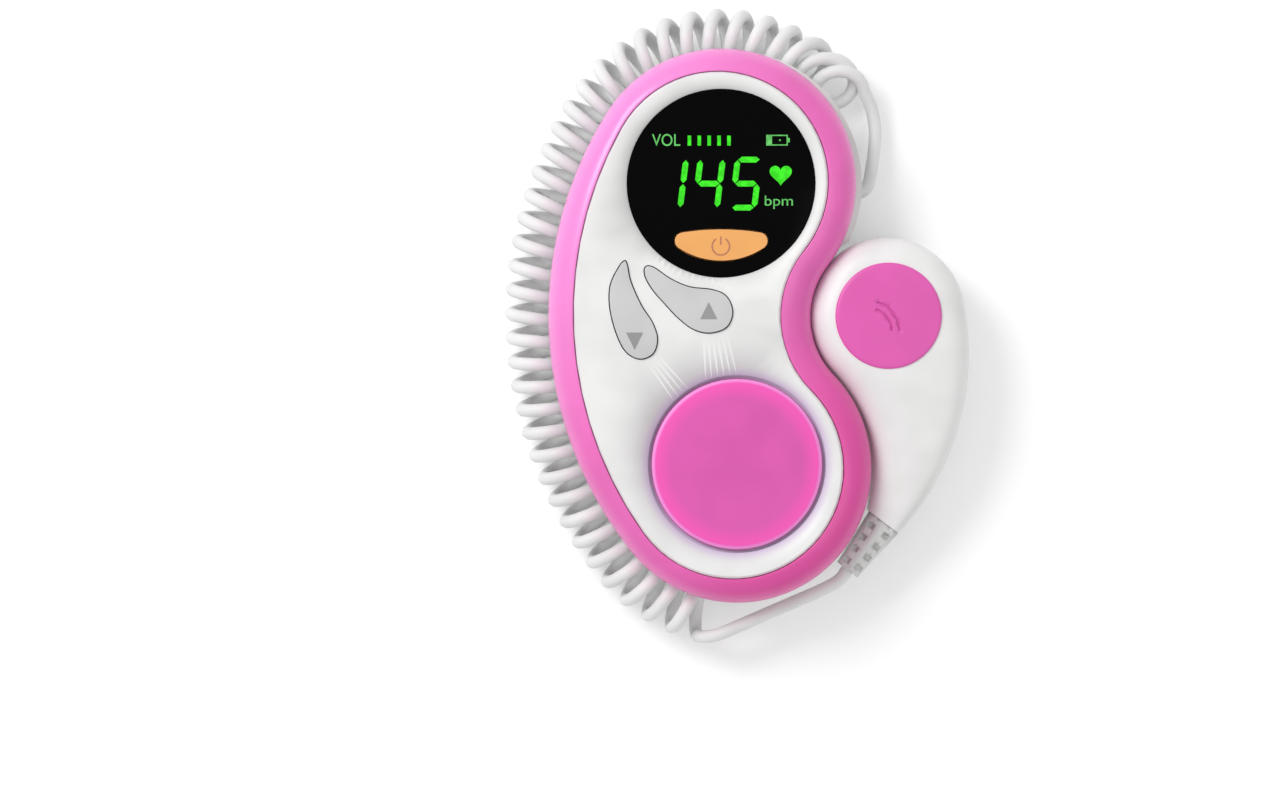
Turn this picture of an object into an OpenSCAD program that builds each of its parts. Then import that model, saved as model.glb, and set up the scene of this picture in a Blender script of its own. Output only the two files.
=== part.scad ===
// Fetal doppler monitor: a bean-shaped main unit with an ultrasound probe docked in its waist
// and a curly cord wound round its side.
// Millimetres. The unit lies on its back: +Z is its face, +Y its display end, +X its probe side.
// The origin is on the flat back face, under the middle of the unit.

/* [Main unit] */
// Radius of each round lobe, over the pink ring
lobe_r = 32.8; // [32:0.1:34]
// Distance between the lobe centres along the unit
lobe_span = 69.4; // [68:0.1:72]
// How far the lower lobe sits to the right of the upper one
lobe_lean = 3.7; // [2:0.1:5]
// How far the lobes sit to the right of the unit's middle
lobe_x = 4.2; // [3:0.1:5]
// Radius of the long back curve, over the ring
back_r = 92.5; // [88:0.5:100]
// Height of the joint between the rear shell and the ring
split_z = 17; // [16.6:0.1:18]
// Height of the ring's crown
crown_z = 28; // [27.6:0.1:29]
// How far the rear shell is drawn in under the ring, to hold the cord
groove_d = 6; // [5.5:0.1:6.5]
// Wall thickness of the rear shell
wall_t = 2; // [1.6:0.1:2.4]
// Floor thickness of the rear shell
floor_t = 2.4; // [2.2:0.1:2.8]
// Rounding of the rear shell's bottom edge
base_round = 3; // [2:0.1:4]
// Thickness of the rear shell's rim, under the ring
rim_t = 1.8; // [1.4:0.1:2]
// How far the rim shows past the ring on the upper right
rim_peek = 1.6; // [0.5:0.1:2]

/* [Ring and panel] */
// Width of the ring round each lobe
bezel_w = 6.2; // [5.5:0.1:7]
// Extra radius of the panel at the waist
bezel_waist_w = 5; // [4:0.1:6]
// How far the panel is shifted left in the ring
bezel_shift = 1; // [0:0.1:1.5]
// How far the ring's surface turns from upright at the panel, in degrees
crown_turn = 75; // [60:1:85]
// Wall thickness of the ring
ring_wall = 2; // [1.6:0.1:2.4]
// Thickness of the face panel
panel_t = 2; // [1.8:0.1:2.2]
// How far the panel stands proud of the ring's crown
panel_proud = 0.2; // [0:0.1:0.4]
// Width of the ledge that carries the panel
ledge_w = 3.2; // [2.6:0.1:3.4]
// Thickness of that ledge
ledge_t = 2; // [1.5:0.1:2.5]

/* [Display] */
// Radius of the black round window
window_r = 22.8; // [22:0.1:23.2]
// Depth of the window's seat in the panel
window_seat = 1; // [0.6:0.1:1.2]
// Width of the lit area
lcd_w = 35.4; // [32:0.1:35.6]
// Height of the lit area
lcd_h = 20; // [16:0.1:20.4]
// Thickness of the display glass
lcd_t = 2.2; // [1.5:0.1:2.5]

/* [Buttons] */
// How far each button stands above the panel
button_proud = 0.7; // [0.4:0.1:1]
// Travel of each button
button_travel = 0.6; // [0.3:0.1:0.7]
// Gap round each button
button_gap = 0.3; // [0.2:0.05:0.4]
// Width of the retaining flange under each button
flange_w = 0.9; // [0.6:0.1:1.1]
// Distance from the window's centre to the power button's lower edge
power_r = 18.7; // [18:0.1:19.2]
// Depth of the power button below that edge's circle
power_h = 7.5; // [6.5:0.1:8]

/* [Speaker] */
// Radius of the pink speaker cover
cover_r = 20.6; // [19.5:0.1:21]
// Thickness of the cover
cover_t = 1.5; // [1.2:0.1:2]
// Gap under the cover that lets the sound out
sound_gap = 1; // [0.6:0.1:1.4]
// Radius of the loudspeaker
speaker_r = 17; // [15:0.1:17.2]
// Height of the loudspeaker
speaker_h = 7.2; // [6:0.1:7.6]

/* [Batteries] */
// Radius of an AAA cell
cell_r = 5.25; // [5.1:0.05:5.3]
// Length of an AAA cell, without its button
cell_l = 43.5; // [42:0.1:44]
// Gap round the cells
cell_gap = 0.3; // [0.2:0.05:0.4]
// Thickness of the battery door
door_t = 1.7; // [1.5:0.1:1.9]
// Width of the door
door_w = 25; // [24.6:0.1:26]

/* [Probe] */
// Radius of the probe's round head
probe_r = 19.3; // [18.6:0.1:19.4]
// Height of the widest line of the probe
probe_z = 13; // [12.5:0.1:13.5]
// Rise of the probe's top above that line
probe_rise = 12; // [11:0.1:13]
// Drop of the probe's underside below that line
probe_drop = 10; // [9.5:0.1:10.2]
// Gap between the probe's head and the ring's waist
dock_gap = 1.1; // [0.8:0.1:1.6]
// How far the probe is pushed into the dock past that gap
dock_lap = 0.5; // [0:0.1:0.7]
// Radius of the pink disc on the probe
disc_r = 12.9; // [11:0.1:13.2]
// Radius of the transducer's acoustic lens
lens_r = 14; // [12:0.1:14.5]

/* [Cord] */
// Diameter of the cord
cord_d = 3.2; // [2.8:0.1:3.4]
// Radius of the curls at the cord's centre
curl_r = 5.7; // [5.2:0.1:5.8]
// Number of curls
curls = 38; // [30:1:39]
// Distance of the curls' centre line outside the ring
coil_out = 3.7; // [3.5:0.1:5]

/* [Headphone jack] */
// Radius of the jack's bore for a 3.5 mm plug
jack_r = 1.8; // [1.78:0.01:1.85]
// Depth of that bore
jack_l = 14; // [13:0.5:15]
// Height of the jack's axis
jack_z = 8; // [7:0.1:9]

/* [Hidden] */
$fn = 64;
through = 50;         // long enough to cut through anything
hair = 0.05;          // clearance of pieces that sit in each other

// Steps along each arc of the bean outline
lobe_steps = 30;
back_steps = 14;
waist_steps = 12;

// An outline is [lobe radius, waist radius, back radius, shift along X]
waist_r = probe_r + dock_gap;
ring_line = [lobe_r, waist_r, back_r, 0];
panel_line = [lobe_r - bezel_w, waist_r + bezel_waist_w, back_r - 0.9, -bezel_shift];
tub_line = grow(ring_line, -groove_d);

// Heights, from the table up
panel_top = crown_z + panel_proud;
panel_z = panel_top - panel_t;
rim_z = split_z - rim_t;
board_t = 1.6;
board_z = rim_z - 0.2;
board_top = board_z + board_t;
dish_d = 0.8;         // depth of the speaker cover's dish
cover_z = panel_top - dish_d + sound_gap;
door_recess = 0.3;    // the door's outer face stands off the table
door_top = door_recess + door_t;
cell_z = door_top + cell_r + cell_gap;
bay_top = cell_z + cell_r + cell_gap;
glass_gap = 0.1;
lcd_z = panel_z - glass_gap - lcd_t;
backlight_t = 2;
gasket_t = 1;

// Places, from the lobes' centres
window_at = top_lobe(ring_line) + [-0.25, -0.4];
lcd_at = window_at + [0.3, 2.7];
cover_at = low_lobe(ring_line) + [-0.15, 1.1];
cells_at = low_lobe(ring_line) + [-3.65, 5.2];
jack_y = top_lobe(ring_line)[1] - 8.7;
jack_mouth = tub_side(jack_y) + 0.3;
jack_in = jack_mouth - 4.3;     // end of the jack's body, clear of the curved wall
collar_r = 3;
gland_y = top_lobe(ring_line)[1] - 1.5;
gland_side = tub_side(gland_y);
gland_at = [gland_side + 4.5, gland_y, 8];
gland_r = 3;

// Housing screws: shank, head and boss, and the height of the seat under the head
screw_r = 1.2;
head_r = 2.4;
head_t = 1.8;
boss_r = 3.4;
seat_z = 4;
screw_grip = 6;       // how far the screws reach into the ring's bosses
screw_places = [
    top_lobe(ring_line) + [0, 20.7],
    top_lobe(ring_line) + [-27.95, -13.7],
    waist_centre(ring_line) + [-33.8, 1.3],
    low_lobe(ring_line) + 23.2 * turn(190),
    low_lobe(ring_line) + 21 * turn(-10)
];

// ---- plain geometry ----
function turn(a) = [cos(a), sin(a)];
function angle_of(v) = atan2(v[1], v[0]);
function unit(v) = v / norm(v);
function lift(points, z) = [for (p = points) [p[0], p[1], z]];
function mix(a, b, t) = a * (1 - t) + b * t;

// Points on an arc, without its last one
function arc(centre, r, from, to, steps) =
    [for (i = [0:steps - 1]) centre + r * turn(mix(from, to, i / steps))];

// A closed curve through a few points (Catmull-Rom)
function curve_point(a, b, c, d, t) =
    0.5 * (2 * b + (c - a) * t + (2 * a - 5 * b + 4 * c - d) * t * t
    + (3 * b - a - 3 * c + d) * t * t * t);
function closed_curve(p, steps) = let (n = len(p))
    [for (i = [0:n - 1], k = [0:steps - 1])
        curve_point(p[(i + n - 1) % n], p[i], p[(i + 1) % n], p[(i + 2) % n], k / steps)];

// Triangles between one loop of n points and the next, for the loops starting at points p and q
function between(n, p, q) = [for (i = [0:n - 1])
    let (j = (i + 1) % n)
    each [[p + i, q + i, p + j], [p + j, q + i, q + j]]];
// Closed solid through loops of equal length, its ends closed flat
module skin(loops) {
    n = len(loops[0]);
    m = len(loops);
    polyhedron(
        points = [for (loop = loops) each loop],
        faces = concat([[for (i = [0:n - 1]) i]],
            [for (k = [0:m - 2]) each between(n, k * n, k * n + n)],
            [[for (i = [n - 1:-1:0]) (m - 1) * n + i]]));
}
// Closed ring through loops, the last joined to the first
module band(loops) {
    n = len(loops[0]);
    m = len(loops);
    polyhedron(
        points = [for (loop = loops) each loop],
        faces = [for (k = [0:m - 1]) each between(n, k * n, (k + 1) % m * n)]);
}

// ---- the bean outline: two lobes, a back curve and a waist, each tangent to the next ----
function grow(line, d) = [line[0] + d, line[1] - d, line[2] + d, line[3]];
function middle(line) = [lobe_x + line[3], 0];
function lobe_gap() = norm([lobe_span, lobe_lean]);
function right_way() = [lobe_span, lobe_lean] / lobe_gap();
function top_lobe(line) = middle(line) + [-lobe_lean, lobe_span] / 2;
function low_lobe(line) = middle(line) + [lobe_lean, -lobe_span] / 2;
function beside(line, reach) =
    middle(line) + right_way() * sqrt(reach * reach - pow(lobe_gap() / 2, 2));
function back_centre(line) = beside(line, line[2] - line[0]);
function waist_centre(line) = beside(line, line[0] + line[1]);
function waist_top(line) = angle_of(top_lobe(line) - waist_centre(line));
function waist_low(line) = angle_of(low_lobe(line) - waist_centre(line)) + 360;
function back_top(line) = angle_of(top_lobe(line) - back_centre(line));
function back_low(line) = angle_of(low_lobe(line) - back_centre(line)) + 360;
// How far right the rear shell's wall stands, at a height along the upper lobe
function tub_side(y) = top_lobe(tub_line)[0]
    + sqrt(pow(tub_line[0], 2) - pow(y - top_lobe(tub_line)[1], 2));

// The outline's points, anticlockwise from the middle of its back, where straight lines reach
// every other point inside the outline, so that a flat end made as a fan has no folds
function bean(line) = let (
        back = arc(back_centre(line), line[2], back_top(line), back_low(line), back_steps),
        half = floor(back_steps / 2))
    concat([for (i = [half:back_steps - 1]) back[i]],
        arc(low_lobe(line), line[0], back_low(line), waist_low(line) + 180, lobe_steps),
        arc(waist_centre(line), line[1], waist_low(line), waist_top(line), waist_steps),
        arc(top_lobe(line), line[0], waist_top(line) - 180, back_top(line), lobe_steps),
        [for (i = [0:half - 1]) back[i]]);

module plate(line, h) {
    linear_extrude(h) polygon(bean(line));
}
// A solid through [distance outside the line, height] levels
module levels(line, steps) {
    skin([for (s = steps) lift(bean(grow(line, s[0])), s[1])]);
}

// ---- ring and panel ----
edge_z = split_z + 3.5;
edge_in = 1.6;
pocket_line = grow(panel_line, 0.15);
ledge_line = grow(panel_line, -ledge_w);
hollow_line = grow(ring_line, -edge_in - ring_wall);
ledge_low = panel_z - ledge_t;
// The ring's surface runs from its widest line up to the panel's pocket, part of a quarter oval
function crown_loop(a) = let (
        outer = bean(ring_line),
        inner = bean(pocket_line),
        f = (1 - cos(a)) / (1 - cos(crown_turn)),
        z = edge_z + (crown_z - edge_z) * sin(a) / sin(crown_turn))
    [for (i = [0:len(outer) - 1]) concat(mix(outer[i], inner[i], f), [z])];
// Round the section once: outside, crown, pocket, ledge and hollow underside
function ring_loops() = concat(
    [for (a = [0, 35])
        lift(bean(grow(ring_line, -edge_in * (1 - sin(a)))), mix(split_z, edge_z, a / 60))],
    [for (k = [0:5]) crown_loop(crown_turn * k / 5)],
    [lift(bean(pocket_line), panel_z),
        lift(bean(ledge_line), panel_z),
        lift(bean(ledge_line), ledge_low),
        lift(bean(hollow_line), ledge_low),
        lift(bean(hollow_line), split_z)]);

module bezel_ring() {
    color("hotpink")
    difference() {
        union() {
            band(ring_loops());
            for (p = screw_places) {
                translate([p[0], p[1], board_top])
                    cylinder(r = boss_r, h = panel_z - board_top);
                translate([p[0], p[1], ledge_low])
                    cylinder(r = boss_r + 0.8, h = ledge_t);
            }
        }
        for (p = screw_places)
            translate([p[0], p[1], board_top - 1])
                cylinder(r = screw_r + hair, h = screw_grip + 2);
    }
}

module power_shape() {
    translate(window_at)
    intersection() {
        circle(r = power_r, $fn = 120);
        translate([0, power_h - power_r - 60])
            circle(r = 60, $fn = 240);
    }
}
// Rounds the two sharp ends of the power button
module power_outline(extra) {
    offset(delta = extra) offset(r = 2, $fn = 24) offset(delta = -2) power_shape();
}
// The volume buttons' outlines, from the window's centre
volume_down_points = [
    [-23.4, -18.9], [-24.7, -20.4], [-26.7, -24.7], [-26.8, -30.1], [-25.3, -36.1], [-23, -40.6],
    [-19.7, -42.4], [-16.5, -41.1], [-15.5, -37.5], [-16.8, -33.5], [-19.3, -29.7], [-21.9, -23.9],
    [-22.8, -19.7]
];
volume_up_points = [
    [-18.3, -20.4], [-18.2, -22.7], [-16.3, -25.9], [-13.5, -29.1], [-10.4, -32.4], [-6.7, -35.2],
    [-2.7, -36.1], [1.3, -34.7], [2.7, -31], [1.1, -27.3], [-2.4, -25.8], [-7.5, -25.2],
    [-12.1, -23.3], [-16.4, -20.4]
];
module leaf(points, extra) {
    translate(window_at) offset(delta = extra) polygon(closed_curve(points, 4));
}

// Sound slots under the speaker cover
slot_l = 8;
slot_w = 1.6;
module face_panel() {
    color("whitesmoke")
    difference() {
        levels(panel_line, [[0, panel_z], [0, panel_top - 0.5], [-0.5, panel_top]]);
        translate([window_at[0], window_at[1], panel_top - window_seat])
            cylinder(r = window_r + hair, h = through);
        translate([lcd_at[0] - lcd_w / 2, lcd_at[1] - lcd_h / 2, panel_z - 1])
            cube([lcd_w, lcd_h, through]);
        translate([0, 0, panel_z - 1]) linear_extrude(through) {
            power_outline(button_gap);
            leaf(volume_down_points, button_gap);
            leaf(volume_up_points, button_gap);
        }
        translate([cover_at[0], cover_at[1], panel_top - dish_d])
            cylinder(r = cover_r + 0.9, h = through);
        translate([cover_at[0], cover_at[1], panel_z - 1])
            for (a = [0:30:330])
                rotate([0, 0, a])
                    translate([5, -slot_w / 2, 0]) cube([slot_l, slot_w, through]);
    }
}
module display_window() {
    color("#0a0a0a")
    difference() {
        translate([window_at[0], window_at[1], panel_top - window_seat])
            cylinder(r = window_r, h = window_seat + 0.1);
        translate([0, 0, panel_z]) linear_extrude(through) power_outline(button_gap);
    }
}

// ---- buttons ----
flange_t = 1.3;
flange_z = panel_z - button_gap - flange_t;
switch_top = 22.4;
switch_w = 6;
switch_body = 3.6;
stem_r = 1.7;
power_at = window_at - [0, power_r - power_h / 2];
down_at = window_at + [-21, -35.8];
up_at = window_at + [-3.3, -30.9];

// A button: a cap, a flange that keeps it under the panel, and a stem that stops over its switch
module button(at) {
    stem_z = switch_top + button_travel + button_gap;
    translate([0, 0, flange_z]) linear_extrude(panel_top + button_proud - flange_z) children(0);
    translate([0, 0, flange_z]) linear_extrude(flange_t) children(1);
    translate([at[0], at[1], stem_z]) cylinder(r = stem_r, h = flange_z - stem_z + 0.5);
}
module power_button() {
    color("sandybrown") button(power_at) { power_outline(0); power_outline(flange_w); }
}
module volume_down_button() {
    color("silver") button(down_at) { leaf(volume_down_points, 0); leaf(volume_down_points, flange_w); }
}
module volume_up_button() {
    color("silver") button(up_at) { leaf(volume_up_points, 0); leaf(volume_up_points, flange_w); }
}

// ---- rear shell and what it holds ----
nub_l = 0.8;          // the button on a cell's end
nub_r = 1.9;
spring_l = 2.2;
contact_t = 0.4;
bay_wall = 1.5;
bay_l = cell_l + nub_l + spring_l + 2 * contact_t;
bay_w = 4 * cell_r + 3 * cell_gap;
bay_low = cells_at[1] - bay_l / 2;
bay_high = cells_at[1] + bay_l / 2;
// The door's tongues run in grooves along both sides of its opening
tongue_w = 1;
tongue_t = 0.9;
door_gap = 0.25;
door_high = bay_high + 1.6;
door_l = 60;          // longer than the opening; the casing's outline ends it
rail_w = door_w + 2 * tongue_w + 2.6;
shelf_r = 13;
shelf_z = 0.2;
shelf_t = 2;
shelf_in = 13;        // the dock's shelf stands this far inside the probe's centre

module tub_form() {
    levels(tub_line, concat(
        [for (a = [-90:22.5:0])
            [base_round * (cos(a) - 1), base_round * (1 + sin(a))]],
        [[0, rim_z - 2.4], [1.2, rim_z - 0.7], [groove_d - 1.2, rim_z],
            [groove_d - 1.2, split_z]]));
}
module rim_disc() {
    at = top_lobe(ring_line) + [rim_peek, 0];
    difference() {
        translate([at[0], at[1], rim_z + 0.1])
            cylinder(r = lobe_r, h = rim_t - 0.2, $fn = 120);
        translate([head_at[0], head_at[1], 0])
            cylinder(r = probe_r + dock_gap, h = through, $fn = 96);
    }
}
module dock_shelf() {
    translate([head_at[0] - shelf_in, head_at[1], shelf_z]) cylinder(r = shelf_r, h = shelf_t);
}
// A bar under the cells, open at the lower end: [width, bottom, top], grown by a clearance
module door_bar(w, low, high, gap) {
    translate([cells_at[0] - w / 2 - gap, door_high - door_l, low - gap])
        cube([w + 2 * gap, door_l + gap, high - low + 2 * gap]);
}
module door_space(gap) {
    door_bar(door_w, gap > 0 ? -1 : door_recess, door_top, gap);
    door_bar(door_w + 2 * tongue_w, door_top - tongue_t, door_top, gap);
}
module rear_shell() {
    color("white")
    difference() {
        union() {
            difference() {
                union() {
                    tub_form();
                    rim_disc();
                }
                translate([0, 0, floor_t]) plate(grow(tub_line, -wall_t), through);
            }
            dock_shelf();
            intersection() {
                plate(grow(tub_line, -wall_t / 2), board_z);
                union() {
                    translate([cells_at[0] - rail_w / 2, bay_low - 2, 1])
                        cube([rail_w, door_high - bay_low + 3, door_top + 0.6]);
                    translate([cells_at[0] - bay_w / 2 - bay_wall, bay_low - bay_wall, 1])
                        cube([bay_w + 2 * bay_wall, bay_l + 2 * bay_wall, bay_top + 0.2]);
                    for (p = screw_places)
                        translate([p[0], p[1], 1]) cylinder(r = boss_r, h = board_z - 1);
                }
            }
        }
        door_space(door_gap);
        translate([cells_at[0] - bay_w / 2, bay_low, -1])
            cube([bay_w, bay_l, bay_top + 1]);
        for (p = screw_places) {
            translate([p[0], p[1], -1]) cylinder(r = head_r + 0.2, h = seat_z + 1);
            translate([p[0], p[1], -1]) cylinder(r = screw_r + 0.15, h = through);
        }
        translate([jack_in, jack_y, jack_z])
            rotate([0, 90, 0]) cylinder(r = collar_r + hair, h = through);
        translate([gland_at[0] - 10, gland_at[1], gland_at[2]])
            rotate([0, 90, 0]) cylinder(r = gland_r + hair, h = through);
    }
}
grips = 5;
grip_pitch = 2.4;
module battery_door() {
    color("white")
    difference() {
        intersection() {
            tub_form();
            door_space(0);
        }
        for (k = [0:grips - 1])
            translate([cells_at[0] - 7, door_high - 10 - grip_pitch * k, 0])
                cube([14, grip_pitch / 2, door_recess + 0.4]);
    }
}
module each_cell() {
    for (side = [-1, 1])
        translate([cells_at[0] + side * (cell_r + cell_gap / 2), cells_at[1], cell_z])
            rotate([0, 0, side < 0 ? 0 : 180])
                translate([0, -bay_l / 2, 0])
                    rotate([-90, 0, 0]) children();
}
module battery_cells() {
    color("slategray")
    each_cell()
        translate([0, 0, contact_t + spring_l]) {
            cylinder(r = cell_r, h = cell_l);
            cylinder(r = nub_r, h = cell_l + nub_l - hair);
        }
}
module battery_contacts() {
    color("silver")
    each_cell()
        for (z = [0, bay_l - contact_t])
            translate([-4, -3.5, z]) cube([8, 7, contact_t]);
}
spring_turns = 2.5;
spring_d = 0.6;
function spring_path() = [for (i = [0:8 * spring_turns])
    let (t = i / (8 * spring_turns))
        concat(mix(3.4, 2, t) * turn(360 * spring_turns * t),
            [contact_t + mix(spring_d / 2, spring_l - spring_d / 2, t)])];
module battery_springs() {
    color("silver") each_cell() tube(spring_path(), spring_d, 6);
}
module housing_screws() {
    color("silver")
    for (p = screw_places)
        translate([p[0], p[1], seat_z - head_t]) {
            cylinder(r = head_r, h = head_t);
            cylinder(r = screw_r, h = board_top + screw_grip - seat_z + head_t);
        }
}

// ---- electronics ----
module main_board() {
    color("darkgreen") {
        difference() {
            translate([0, 0, board_z]) plate(grow(tub_line, -wall_t - 0.6), board_t);
            for (p = screw_places)
                translate([p[0], p[1], board_z - 1]) cylinder(r = screw_r + 0.3, h = board_t + 2);
        }
        // The controller, memory, amplifier and regulator: [place, side]
        for (chip = [[window_at + [-14.1, -13.8], 7], [cover_at + [-18.9, 16.6], 8],
                [window_at + [5.9, -21.3], 6], [window_at + [-11.1, -26.3], 5]])
            translate([chip[0][0], chip[0][1], board_top]) linear_extrude(1)
                square(chip[1], center = true);
    }
}
module tact_switches() {
    color("dimgray")
    for (at = [power_at, down_at, up_at]) {
        translate([at[0], at[1], board_top]) linear_extrude(switch_body)
            square(switch_w, center = true);
        translate([at[0], at[1], board_top]) cylinder(r = stem_r, h = switch_top - board_top);
    }
}
glass_edge = 0.6;     // the glass is this much wider than its lit area
module lcd_block(z, grown, h) {
    translate([lcd_at[0], lcd_at[1], z]) linear_extrude(h)
        square([lcd_w + grown, lcd_h + grown], center = true);
}
module lcd_module() {
    color("darkslategray") lcd_block(lcd_z, glass_edge, lcd_t);
}
module backlight() {
    color("ivory") lcd_block(lcd_z - backlight_t, glass_edge, backlight_t);
}
module display_frame() {
    color("gainsboro")
    difference() {
        intersection() {
            lcd_block(board_top, 3.2, panel_z - glass_gap - board_top);
            translate([top_lobe(panel_line)[0], top_lobe(panel_line)[1], 0])
                cylinder(r = panel_line[0] - ledge_w - 0.3, h = through, $fn = 96);
        }
        lcd_block(lcd_z - backlight_t, glass_edge + 2 * hair, through);
        lcd_block(0, -4, through);
    }
}
module speaker() {
    color("dimgray")
    translate([cover_at[0], cover_at[1], panel_z - gasket_t - speaker_h])
        rotate_extrude()
            polygon([[0, 0], [speaker_r / 2, 0], [speaker_r / 2, 2.6],
                [speaker_r - 1.5, speaker_h - 1.6], [speaker_r, speaker_h - 1.6],
                [speaker_r, speaker_h], [speaker_r - 2, speaker_h],
                [5, speaker_h - 2.4], [0, speaker_h - 1.6]]);
}
module speaker_gasket() {
    color("black")
    translate([cover_at[0], cover_at[1], panel_z - gasket_t])
        difference() {
            cylinder(r = speaker_r, h = gasket_t);
            translate([0, 0, -1]) cylinder(r = speaker_r - 2, h = gasket_t + 2);
        }
}
module speaker_cover() {
    color("hotpink")
    translate([cover_at[0], cover_at[1], cover_z]) {
        rotate_extrude()
            polygon(concat([[0, 0], [cover_r - 0.6, 0]],
                [for (a = [0:15:90])
                    [cover_r - 1.2 * (1 - cos(a)), 0.3 + (cover_t - 0.7) * sin(a)]],
                [[cover_r / 2, cover_t - 0.1], [0, cover_t]]));
        // Pegs hold the cover off the panel
        for (a = [30:60:330])
            rotate([0, 0, a])
                translate([cover_r - 2.4, 0, -sound_gap]) cylinder(r = 1.3, h = sound_gap + 0.2);
    }
}
jack_w = 6.4;
module headphone_jack() {
    color("#303030")
    difference() {
        union() {
            // The body hangs from the main board
            translate([jack_mouth - jack_l - 1, jack_y - jack_w / 2, jack_z - jack_w / 2])
                cube([jack_in - jack_mouth + jack_l + 1, jack_w, board_z - jack_z + jack_w / 2]);
            translate([jack_in - 1, jack_y, jack_z])
                rotate([0, 90, 0]) cylinder(r = collar_r, h = jack_mouth - jack_in + 1);
        }
        translate([jack_mouth - jack_l, jack_y, jack_z])
            rotate([0, 90, 0]) cylinder(r = jack_r, h = through);
    }
}
module cord_gland() {
    color("gainsboro")
    translate([gland_side, gland_at[1], gland_at[2]]) rotate([0, 90, 0]) {
        translate([0, 0, -wall_t - 2.1]) cylinder(r = gland_r + 0.8, h = 1.2);
        translate([0, 0, -wall_t - 1]) cylinder(r = gland_r, h = wall_t + 1.5);
        translate([0, 0, 0.2]) cylinder(r = gland_r + 0.8, h = 1);
        translate([0, 0, 1.2])
            cylinder(r1 = gland_r, r2 = cord_d / 2 + 0.5, h = gland_at[0] - gland_side - 1.2);
    }
}

// ---- where the probe and its strain relief are ----
head_at = waist_centre(ring_line) + [-dock_gap - dock_lap, 0.2];
pole = low_lobe(ring_line);
head_far = norm(head_at - pole);
head_turn = angle_of(head_at - pole);
blend_turn = head_turn - 9;
tail_turn = -20.3;    // where the strain relief joins
tail_from = tail_turn - 9;
tail_in = head_far - probe_r;
tail_w = 8.2;
tail_lift = 1.8;      // the tail's inner side draws away from the ring
tail_reach = 40;
tail_height = 0.38;
joint_at = pole + (lobe_r + 5.8) * turn(tail_turn);
relief_turn = 232.4;
relief_l = 14.7;
relief_way = [cos(relief_turn), sin(relief_turn), 0];
relief_end = [joint_at[0], joint_at[1], probe_z] + relief_l * relief_way;
probe_wall = 2;
disc_flat = probe_rise - 0.8;
disc_z = probe_z + disc_flat;
disc_seat = 0.9;
lens_seat = 6.2;
lens_lip = 0.9;
cup_z = 4.2;        // floor of the lens's cup, where the crystals lie
crystal_t = 1;
backing_t = 4;
probe_screw_r = 0.9;
probe_head_r = 1.8;
probe_seat_z = 10;
probe_screw_places = [pole + 41 * turn(3), pole + 45 * turn(20)];

// ---- cord ----
function tangent(path, i) = unit(path[min(i + 1, len(path) - 1)] - path[max(i - 1, 0)]);
function carried(u, t) = unit(u - (u * t) * t);
function first_side(t) = carried(abs(t[2]) < 0.7 ? [0, 0, 1] : [1, 0, 0], t);
function ring_of(at, t, u, r, sides) = let (v = cross(t, u))
    [for (k = [0:sides - 1]) at + r * (cos(360 * k / sides) * u + sin(360 * k / sides) * v)];
// A closed tube along a path, with the given number of sides
module tube(path, d, sides) {
    skin([for (i = 0, u = first_side(tangent(path, 0)); i < len(path);
        i = i + 1, u = carried(u, tangent(path, min(i, len(path) - 1))))
            ring_of(path[i], tangent(path, i), u, d / 2, sides)]);
}

// The curls' centre line follows the ring at coil_out, clockwise from the lower end
coil_line = grow(ring_line, coil_out);
coil_from = 254;
coil_to = 38;
coil_z = curl_r + cord_d / 2 + 0.1;
low_run = (coil_from - back_low(coil_line)) * coil_line[0] * PI / 180;
back_run = (back_low(coil_line) - back_top(coil_line)) * coil_line[2] * PI / 180;
top_run = (back_top(coil_line) - coil_to) * coil_line[0] * PI / 180;
coil_run = low_run + back_run + top_run;
function swing(s, r) = s / r * 180 / PI;
function coil_place(s) =
    s < low_run ? [low_lobe(coil_line), coil_line[0], coil_from - swing(s, coil_line[0])]
    : s < low_run + back_run
        ? [back_centre(coil_line), coil_line[2], back_low(coil_line) - swing(s - low_run, coil_line[2])]
        : [top_lobe(coil_line), coil_line[0],
            back_top(coil_line) - swing(s - low_run - back_run, coil_line[0])];
// The first and last quarter curl stay low and high, so that the plain cords join along the run
function curl_point(t) = let (
        place = coil_place(t * coil_run),
        phase = 360 * curls * t,
        up = phase < 90 ? -1 : phase > 360 * curls - 90 ? 1 : -sin(phase),
        flat = place[0] + (place[1] + curl_r * cos(phase)) * turn(place[2]))
    [flat[0], flat[1], coil_z + curl_r * up];
curl_rings = 8;
curl_points = [for (i = [0:curl_rings * curls]) curl_point(i / (curl_rings * curls))];
coil_start_way = [sin(coil_from), -cos(coil_from), 0];
coil_end_way = [sin(coil_to), -cos(coil_to), 0];
coil_start = curl_points[0] - cord_d * coil_start_way;
coil_end = curl_points[curl_rings * curls] + cord_d * coil_end_way;
coil_path = concat([coil_start], curl_points, [coil_end]);
self_gap = min([for (i = [0:len(coil_path) - 1], j = [i + curl_rings - 2:1:len(coil_path) - 1])
    norm(coil_path[i] - coil_path[j])]) - cord_d;
coil_length = 2 * cord_d + curls * norm([2 * PI * curl_r, coil_run / curls]);
echo(least_gap_between_curls = self_gap, wire_in_curls = coil_length);

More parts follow.
